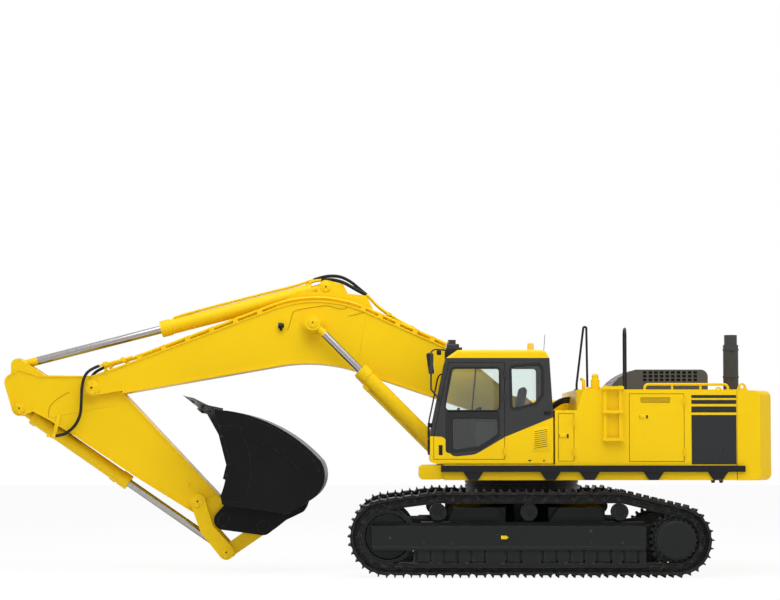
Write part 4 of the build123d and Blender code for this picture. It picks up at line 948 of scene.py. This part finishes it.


# cab: door handle, louvre with painted shade in its slits, lamps, mirror, front guard, aerial and controls

lampY, guardY, stickY, pedalY = (0.780, 1.400), (0.715, 1.505), (0.7475, 1.4525), (1.03, 1.185)
slitPitch = 0.030625
cabFittings = {
    "doorFittings": {"finish": "black", "body": "cab_door", "blocks": [
        ((1.253, 1.588, 1.788), (1.310, 1.593, 1.937), 0.002), ((1.261, 1.590, 1.818), (1.279, 1.604, 1.907), 0.006, 3),
    ]},
    "louvrePanel": {"finish": "yellow", "body": "upper", "blocks": [
        ((-0.330, 1.588, 1.838), (-0.080, 1.593, 2.202), 0.003),
    ]},
    "cabTrimAndLouvreShade": {
        "finish": "black", "body": "upper",
        "blocks": [
            # black slits on the louvre panel: painted shade in its openings
            *[((-0.300, 1.590, 1.901 + slitPitch * slit), (-0.105, 1.5945, 1.909 + slitPitch * slit), 0.001, 1, 10)
              for slit in range(9)],
            ((-0.350, 1.588, 2.385), (-0.245, 1.600, 2.440), 0.009, 3),
            ((-0.055, 1.588, 1.699), (-0.015, 1.596, 1.719), 0.003),
            *[((1.005, y - 0.080, 3.236), (1.204, y + 0.080, 3.358), 0.014, 3) for y in lampY],
            ((1.394, 1.552, 2.985), (1.478, 1.748, 3.300), 0.030, 4, 8),
            ((1.270, 1.500, 3.270), (1.340, 1.590, 3.345), 0.020, 3),
            *[((1.442, 0.715, z - 0.012), (1.462, 1.505, z + 0.012), 0.005) for z in (1.80, 2.03, 2.26)],
            *[((1.442, y - 0.012, 1.80), (1.462, y + 0.012, 2.26), 0.005) for y in guardY],
            *[((1.392, y - 0.015, 1.83), (1.447, y + 0.015, 1.87)) for y in guardY],
            *[((1.372, y - 0.015, 2.20), (1.447, y + 0.015, 2.24)) for y in guardY],
            ((0.12, 0.80, 3.338), (0.72, 1.40, 3.352), 0.008, 3),
        ],
        "drums": [
            ((-0.247, 1.589, 1.709), (-0.247, 1.596, 1.709), 0.012, 18, 0.002),
            ((0.724, 0.640, 3.10), (0.794, 0.640, 2.35), 0.012, 12, 0),
            ((-0.26, 1.40, 3.285), (-0.26, 1.40, 3.325), 0.014, 20),
            ((-0.26, 1.40, 3.32), (-0.28, 1.40, 3.58), 0.004, 10, 0),
        ],
    },
    "mirrorGlass": {"finish": "chrome", "body": "upper", "blocks": [
        ((1.391, 1.565, 3.010), (1.397, 1.735, 3.274), 0.0015, 2, 8),
    ]},
    "lampLenses": {"finish": "lamp", "body": "upper", "drums": [
        *[((1.188, y + dy, 3.395), (1.1955, y + dy, 3.395), 0.034, 28) for y in lampY for dy in (-0.042, 0.042)],
        *[((1.162, y, 3.462), (1.168, y, 3.462), 0.028, 28, 0.002) for y in lampY],
    ]},
    "cabControls": {
        "finish": "plastic", "body": "upper",
        "blocks": [
            *[((0.26, y - 0.05, 2.225), (0.56, y + 0.05, 2.285), 0.018, 3) for y in stickY],
            *[((1.02, y - 0.055, 1.735), (1.22, y + 0.055, 1.755), 0.008) for y in pedalY],
            ((0.985, 0.68, 2.35), (1.025, 0.88, 2.50), 0.012, 3, -12),
        ],
        "drums": [
            *[((0.665, y, 2.285), (0.675, y, 2.345), 0.042, 24, 0.006, 0.022) for y in stickY],
            *[((0.672, y, 2.33), (0.685, y, 2.40), 0.011, 16, 0) for y in stickY],
            *[((0.684, y, 2.39), (0.70, y, 2.50), 0.020, 20, 0.008, 0.027) for y in stickY],
            *[((1.06, y, 1.722), (1.02, y, 2.28), 0.010, 14, 0) for y in pedalY],
            *[((1.02, y, 2.27), (1.012, y, 2.37), 0.017, 16, 0.006) for y in pedalY],
            ((1.05, 0.72, 1.95), (1.02, 0.74, 2.36), 0.014, 14, 0),
        ],
    },
}
cabRails = {
    "mirrorBar": (0.011, ((1.20, 1.46, 3.345), (1.28, 1.50, 3.352), (1.42, 1.62, 3.352), (1.445, 1.65, 3.25))),
    "frontRail": (0.012, (
        (1.225, 1.555, 2.985), (1.28, 1.555, 2.99), (1.325, 1.555, 2.94), (1.37, 1.555, 2.70), (1.42, 1.555, 2.45),
        (1.458, 1.555, 2.28), (1.45, 1.555, 2.245), (1.40, 1.555, 2.25),
    )),
}
makeFittings(cabFittings)
for name, (radius, path) in cabRails.items():
    layLine(name, path, radius, "black", "upper")
print("cab dressed")


# engine housing: latches, vent mesh in painted shade, painted shade behind the hood's grille, brow bars, stack clamps,
# rail feet, filler and the right side

houseSet = {
    "face": 1.590, "serviceLatch": (-1.795, -1.660, 2.320, 2.390), "bayLatch": (-0.620, -0.470, 2.030, 2.110),
    "brow": ((-1.275, 2.7583), (-1.425, 2.942), (-1.695, 3.077)), "bars": 5, "barHalf": 0.018,
    "barSpans": ((-0.66, -0.04), (0.04, 0.66)), "barSink": 0.003, "barProud": 0.005,
    "hoodCatch": ((-2.795, -0.09, 2.90), (-2.784, 0.09, 2.96)),
}
railFeet = ((-0.765, 1.2), (-0.927, 1.2), (-1.469, 1.52), (-1.469, 1.25))
lowBolts = [(x, y) for x in (-2.75, -2.87) for y in (-1.545, 1.545)]
houseFittings = {
    # the vent mesh's darker yellow is painted shade in the vent's recess
    "ventMesh": {"finish": "ventMesh", "body": "service_door_{}", "pair": True, "blocks": [
        ((-2.112, 1.5862, 2.562), (-1.686, 1.5885, 2.638), 0.0008, 1),
    ]},
    # black sheet behind the hood's grille: painted shade in its openings
    "grilleShadeSheet": {"finish": "black", "body": "hood", "pair": True, "blocks": [
        ((-2.70, 0.765, 2.86), (-1.76, 0.772, 3.05), 0.002, 1),
    ]},
    "stackClamps": {
        "finish": "stack", "body": "upper",
        "blocks": [((-3.165, 0.865, z), (-3.123, 0.895, z + 0.035)) for z in (2.95, 3.36)],
        "drums": [((-3.144, 0.750, z), (-3.144, 0.750, z + 0.035), 0.121, 40, 0.004) for z in (2.95, 3.36)],
    },
    "railFeet": {
        "finish": "black", "body": "upper",
        "blocks": [((-3.222, side * 1.596, 1.541), (-3.098, side * 1.638, 1.632), 0.008) for side in (-1, 1)],
        "drums": [
            *[((x, y, 2.757), (x, y, 2.768), 0.042, 28) for x, y in railFeet],
            *[((x, y, 1.418), (x, y, 1.405), 0.036, 24, 0.002) for x, y in lowBolts],
            *[((x, y, 1.407), (x, y, 1.377), 0.028, 6) for x, y in lowBolts],
        ],
        "rings": [((x, y, 2.767), (0, 0, 1), 0.031, 3, 0.006) for x, y in railFeet],
    },
    "fillerBracket": {
        "finish": "yellow", "body": "upper",
        "blocks": [((-1.118, 1.27, 2.757), (-0.900, 1.33, 2.800), 0.008)],
        "drums": [
            ((-0.862, 1.30, 2.757), (-0.862, 1.30, 2.905), 0.026, 24, 0.004),
            ((-0.862, 1.30, 2.895), (-0.815, 1.30, 2.935), 0.024, 24, 0.004),
        ],
    },
    "rightSideFittings": {
        "finish": "black", "body": "upper",
        "blocks": [
            ((0.20, -1.17, 2.732), (0.40, -1.13, 2.752), 0.008, 3),
            ((0.95, -1.55, 1.898), (1.22, -0.80, 1.904), 0.002, 1),
            ((0.60, -1.55, 2.148), (0.90, -0.80, 2.154), 0.002, 1),
            ((0.62, -1.594, 1.72), (0.88, -1.588, 2.08), 0.003), ((0.84, -1.604, 1.86), (0.865, -1.59, 1.94)),
        ],
        "drums": [((0.30, -1.15, 2.688), (0.30, -1.15, 2.735), 0.112, 40, 0.008)],
    },
}


def makeLatch(name, span, side, body):
    # yellow plate and handle, with a black catch at each end
    front, rear, low, high = span
    face = houseSet["face"]
    parts = {
        "": ("yellow", [
            ((front, face - 0.002, low), (rear, face + 0.004, high), 0.003),
            ((front + 0.045, face, low + 0.014), (rear - 0.014, face + 0.012, high - 0.014), 0.006, 3),
        ]),
        "Catch": ("black", [
            ((front + 0.008, face, low + 0.010), (front + 0.034, face + 0.009, high - 0.010)),
            ((rear - 0.010, face, low + 0.010), (rear - 0.006, face + 0.009, high - 0.010), 0.001, 1),
        ]),
    }
    for ending, (finish, blocks) in parts.items():
        bm = bmesh.new()
        addShapes(bm, {"blocks": blocks}, side)
        makePiece(name + ending, bm, finish, body)


def arcStations(ends, count):
    # places and outward directions along an arc through three points
    first, middle, last = (Vector(point) for point in ends)
    a, b = middle - first, last - first
    cross = 2 * (a.x * b.y - a.y * b.x)
    centre = first + Vector((b.y * a.length_squared - a.y * b.length_squared,
                             a.x * b.length_squared - b.x * a.length_squared)) / cross
    start = math.atan2(first.y - centre.y, first.x - centre.x)
    sweep = math.atan2(last.y - centre.y, last.x - centre.x) - start
    radius = (first - centre).length
    places = []
    for index in range(count):
        angle = start + sweep * (index + 1) / (count + 1)
        out = Vector((math.cos(angle), math.sin(angle)))
        places.append((centre + out * radius, out))
    return places


def makeBrowBars():
    bm = bmesh.new()
    half = houseSet["barHalf"]
    for place, out in arcStations(houseSet["brow"], houseSet["bars"]):
        tilt = math.degrees(math.atan2(out.x, out.y))
        for low, high in houseSet["barSpans"]:
            corner = (place.x - half, low, place.y - houseSet["barSink"])
            addBlock(bm, corner, (place.x + half, high, place.y + houseSet["barProud"]), 0.003, 2, tilt)
    addBlock(bm, *houseSet["hoodCatch"])
    makePiece("browBars", bm, "black", "hood")


for side, label in bothSides:
    makeLatch("serviceLatch" + label, houseSet["serviceLatch"], side, "service_door_" + label.lower())
makeLatch("bayLatch", houseSet["bayLatch"], 1, "bay_door")
makeBrowBars()
makeFittings(houseFittings)
print("housing dressed")


# undercarriage: chain link eyes and pins, drive and frame bolts, lip bar and track adjuster

trackSet = {
    "wheels": (
        (-2.166, 0.543, 0.338), (2.061, 0.593, 0.388), (1.327, 0.955, 0.125), (-0.013, 0.955, 0.125),
        (-1.353, 0.955, 0.125),
    ),
    "links": 49, "pinLift": 0.070, "middle": 1.65, "rail": 0.130, "step": 0.01, "linkEye": 0.052, "pin": 0.024,
    "barHalf": 0.028,
}
rollersX = (1.542, 1.144, 0.746, 0.220, -0.305, -0.703, -1.101, -1.499)
frameBoltsAt = (
    (2.029, 0.578), (1.539, 0.66), (1.539, 0.50), (1.112, 0.50), (-0.914, 0.678), (-0.914, 0.50), (-1.370, 0.50),
)
trackFittings = {
    "frameBolts": {
        "finish": "frame", "body": "undercarriage", "pair": True,
        "rings": [((-2.166, 1.807, 0.543), (0, 1, 0), 0.302, 24, 0.014)],
        "bolts": [
            *[((x, 1.854, z), 0.020) for x, z in frameBoltsAt], *[((x + 0.16, 1.830, 0.205), 0.015) for x in rollersX],
        ],
        "blocks": [((-1.716, 1.826, 0.392), (2.292, 1.858, 0.452), 0.010, 3)],
        "drums": [((0.437, 1.854, 0.586), (0.437, 1.859, 0.586), 0.046, 28)],
    },
    "adjusterFitting": {
        "finish": "yellow", "body": "undercarriage", "pair": True,
        "blocks": [((0.318, 1.854, 0.558), (0.408, 1.882, 0.612), 0.010, 3)],
        "drums": [((0.300, 1.868, 0.585), (0.325, 1.868, 0.585), 0.012, 16, 0.002)],
    },
}


def beltStations(wheels, count):
    # places at equal steps along a tight belt round wheels (x, z, radius)
    runs = []
    for (x, z, radius), (nextX, nextZ, nextRadius) in zip(wheels, wheels[1:] + wheels[:1]):
        reach = Vector((nextX - x, nextZ - z))
        way = reach.normalized()
        lean = (radius - nextRadius) / reach.length
        out = way * lean + Vector((way.y, -way.x)) * math.sqrt(1 - lean * lean)
        runs.append((Vector((x, z)) + out * radius, Vector((nextX, nextZ)) + out * nextRadius, out))
    places = []
    for index, (x, z, radius) in enumerate(wheels):
        start, end, out = runs[index]
        before = runs[index - 1][2]
        angle = math.atan2(before.y, before.x)
        sweep = (math.atan2(out.y, out.x) - angle) % (2 * math.pi)
        parts = int(sweep * radius / trackSet["step"]) if sweep < 6 else 0
        for part in range(parts):
            turn = angle + sweep * part / parts
            places.append(Vector((x + radius * math.cos(turn), z + radius * math.sin(turn))))
        parts = int((end - start).length / trackSet["step"])
        places += [start.lerp(end, part / parts) for part in range(parts)]
    return [places[int(len(places) * index / count)] for index in range(count)]


def addLink(bm, place, after, y, way):
    # eye, pin and bar on one side of a chain rail
    eye, tall = trackSet["linkEye"], trackSet["barHalf"]
    reach = after - place
    centre = (place + after) / 2
    half = reach.length / 2 - eye * 0.6
    addDrum(bm, (place.x, y - 0.001 * way, place.y), (place.x, y + 0.007 * way, place.y), eye, 20, 0.002)
    addDrum(bm, (place.x, y, place.y), (place.x, y + 0.013 * way, place.y), trackSet["pin"], 14, 0.002)
    near, far = sorted((y - 0.001 * way, y + 0.005 * way))
    tilt = math.degrees(-math.atan2(reach.y, reach.x))
    addBlock(bm, (centre.x - half, near, centre.y - tall), (centre.x + half, far, centre.y + tall), 0, 1, tilt)


def makeLinkPins():
    wheels = tuple((x, z, radius + trackSet["pinLift"]) for x, z, radius in trackSet["wheels"])
    places = beltStations(wheels, trackSet["links"])
    for side, label in bothSides:
        bm = bmesh.new()
        for place, after in zip(places, places[1:] + places[:1]):
            for way in (-1, 1):
                addLink(bm, place, after, side * trackSet["middle"] + way * trackSet["rail"], way)
        makePiece("linkPins" + label, bm, "track", "undercarriage")


makeLinkPins()
makeFittings(trackFittings)
print("undercarriage dressed")


# bucket: cutter bolts, tooth pins, wear and cutter plates

bucketSet = {
    "face": 0.950, "bolt": 0.020, "boltsAt": (
        (-0.327, -1.440), (-0.206, -1.265), (-0.113, -1.061), (-0.020, -0.857), (-0.028, -0.700),
    ),
    "teeth": 5, "edge": 0.84, "half": 0.065, "pin": 0.022, "pinAt": (-0.520, -1.645),
    "side": 0.930, "sink": 0.002, "proud": {"wearPlate": 0.014, "cutterPlate": 0.008},
    "wearPlate": (
        (4.235, 2.067), (3.818, 1.894), (3.558, 1.720), (3.384, 1.529), (3.133, 1.442), (3.098, 1.564), (3.211, 1.755),
        (3.471, 1.998), (3.818, 2.215), (4.166, 2.345), (4.287, 2.241),
    ),
    "cutterPlate": (
        (4.608, 2.223), (4.313, 2.232), (4.235, 2.067), (4.166, 1.842), (4.134, 1.703), (4.121, 1.408), (4.174, 1.251),
        (4.270, 1.078), (4.530, 1.060), (4.561, 1.165), (4.504, 1.390), (4.492, 1.633), (4.539, 1.946),
    ),
}


def onBucket(point):
    u, v = point
    pin = jointAt["bucket_curl"]
    across, up = math.cos(bucketTurn), math.sin(bucketTurn)
    return pin.x + u * across - v * up, pin.z + u * up + v * across


def addPlate(bm, outline, near, far):
    # flat plate with a side-view outline, between two distances from the middle
    raiseFaces(bm, [bm.faces.new([bm.verts.new((x, near, z)) for x, z in outline])], far - near)


def makeBucketFittings():
    bm = bmesh.new()
    for side in (-1, 1):
        for x, z in map(onBucket, bucketSet["boltsAt"]):
            addBolt(bm, (x, side * bucketSet["face"], z), (0, side, 0), bucketSet["bolt"])
    x, z = onBucket(bucketSet["pinAt"])
    pitch = 2 * bucketSet["edge"] / (bucketSet["teeth"] - 1)
    for index in range(bucketSet["teeth"]):
        y = -bucketSet["edge"] + pitch * index
        addDrum(bm, (x, y - bucketSet["half"], z), (x, y + bucketSet["half"], z), bucketSet["pin"], 20, 0.003)
    makePiece("bucketBolts", bm, "bucket", "bucket")
    bm = bmesh.new()
    for side in (-1, 1):
        near = side * (bucketSet["side"] - bucketSet["sink"])
        for outline, proud in bucketSet["proud"].items():
            addPlate(bm, bucketSet[outline], near, side * (bucketSet["side"] + proud))
    makePiece("bucketPlates", bm, "bucket", "bucket", sharp=30)


makeBucketFittings()
print("bucket dressed")


# lamp on the boom's left side

boomLampFittings = {
    "boomLamp": {
        "finish": "black", "body": "boom", "slot": "lamp_plastic",
        "blocks": [
            ((3.69, 0.313, 3.691), (3.73, 0.320, 3.811), 0.002), ((3.695, 0.316, 3.691), (3.725, 0.366, 3.716), 0.003),
        ],
        "drums": [
            ((3.66, 0.366, 3.766), (3.74, 0.366, 3.766), 0.0294, 28, 0.008, 0.042),
            ((3.738, 0.366, 3.766), (3.750, 0.366, 3.766), 0.045, 28),
        ],
    },
    "boomLampLens": {"finish": "lamp", "body": "boom", "drums": [
        ((3.749, 0.366, 3.766), (3.753, 0.366, 3.766), 0.037, 28, 0.002),
    ]},
}
makeFittings(boomLampFittings)
print("boom lamp made")


# stage, lamps and sky

stageSet = {"floor": 140.0, "pale": 0.9, "glow": 0.92, "sky": 0.5}
# place, aim, size and power
lampSet = {
    "topLamp": ((2.0, 5.0, 14.0), (2.0, 0.0, 1.5), (16.0, 10.0), 1450.0),
    "frontLamp": ((1.0, 16.0, 17.0), (1.0, 0.0, 2.0), (14.0, 8.0), 900.0),
    "rearLamp": ((-15.0, 10.0, 8.0), (-3.0, 0.0, 2.0), (8.0, 6.0), 350.0),
    "farLamp": ((2.0, -16.0, 12.0), (1.0, 0.0, 2.0), (14.0, 8.0), 500.0),
}


def makeStage():
    bm = bmesh.new()
    bmesh.ops.create_grid(bm, x_segments=1, y_segments=1, size=stageSet["floor"] / 2)
    floorFinish, tree, shader = newFinish("paleFloor")
    feed(tree, shader, {"Base Color": opaque((stageSet["pale"],) * 3), "Roughness": 0.9})
    glow = node(tree, "ShaderNodeEmission").outputs["Emission"]
    seen = node(tree, "ShaderNodeLightPath").outputs["Is Camera Ray"]
    inputs = {"Fac": times(tree, seen, stageSet["glow"]), 1: shader.outputs["BSDF"], 2: glow}
    mix = node(tree, "ShaderNodeMixShader", inputs)
    feed(tree, tree.nodes["Material Output"], {"Surface": mix.outputs["Shader"]})
    mesh = bpy.data.meshes.new("floor")
    bm.to_mesh(mesh)
    bm.free()
    mesh.materials.append(floorFinish)
    floor = bpy.data.objects.new("floor", mesh)
    bpy.context.scene.collection.objects.link(floor)


def makeSky():
    # white to the camera, in reflections and through glass, and dimmer as a light
    sky = bpy.data.worlds.new("studioSky")
    sky.use_nodes = True
    tree = sky.node_tree
    white = opaque((1.0, 1.0, 1.0))
    lit = tree.nodes["Background"]
    feed(tree, lit, {"Strength": stageSet["sky"], "Color": white})
    seen = node(tree, "ShaderNodeBackground", {"Strength": 1.0, "Color": white})
    path = node(tree, "ShaderNodeLightPath").outputs
    either = mathNode(tree, "MAXIMUM", path["Is Camera Ray"], path["Is Glossy Ray"])
    third = mathNode(tree, "MAXIMUM", either, path["Is Transmission Ray"])
    inputs = {"Fac": third, 1: lit.outputs["Background"], 2: seen.outputs["Background"]}
    mix = node(tree, "ShaderNodeMixShader", inputs)
    feed(tree, tree.nodes["World Output"], {"Surface": mix.outputs["Shader"]})
    bpy.context.scene.world = sky


def addLamp(name, place, aim, size, power):
    data = bpy.data.lights.new(name, "AREA")
    data.shape = "RECTANGLE"
    data.size, data.size_y = size
    data.energy = power
    lamp = bpy.data.objects.new(name, data)
    lamp.location = place
    lamp.rotation_euler = (Vector(aim) - Vector(place)).to_track_quat("-Z", "Y").to_euler()
    bpy.context.scene.collection.objects.link(lamp)


makeStage()
makeSky()
for name, lamp in lampSet.items():
    addLamp(name, *lamp)
print("stage and lamps set")
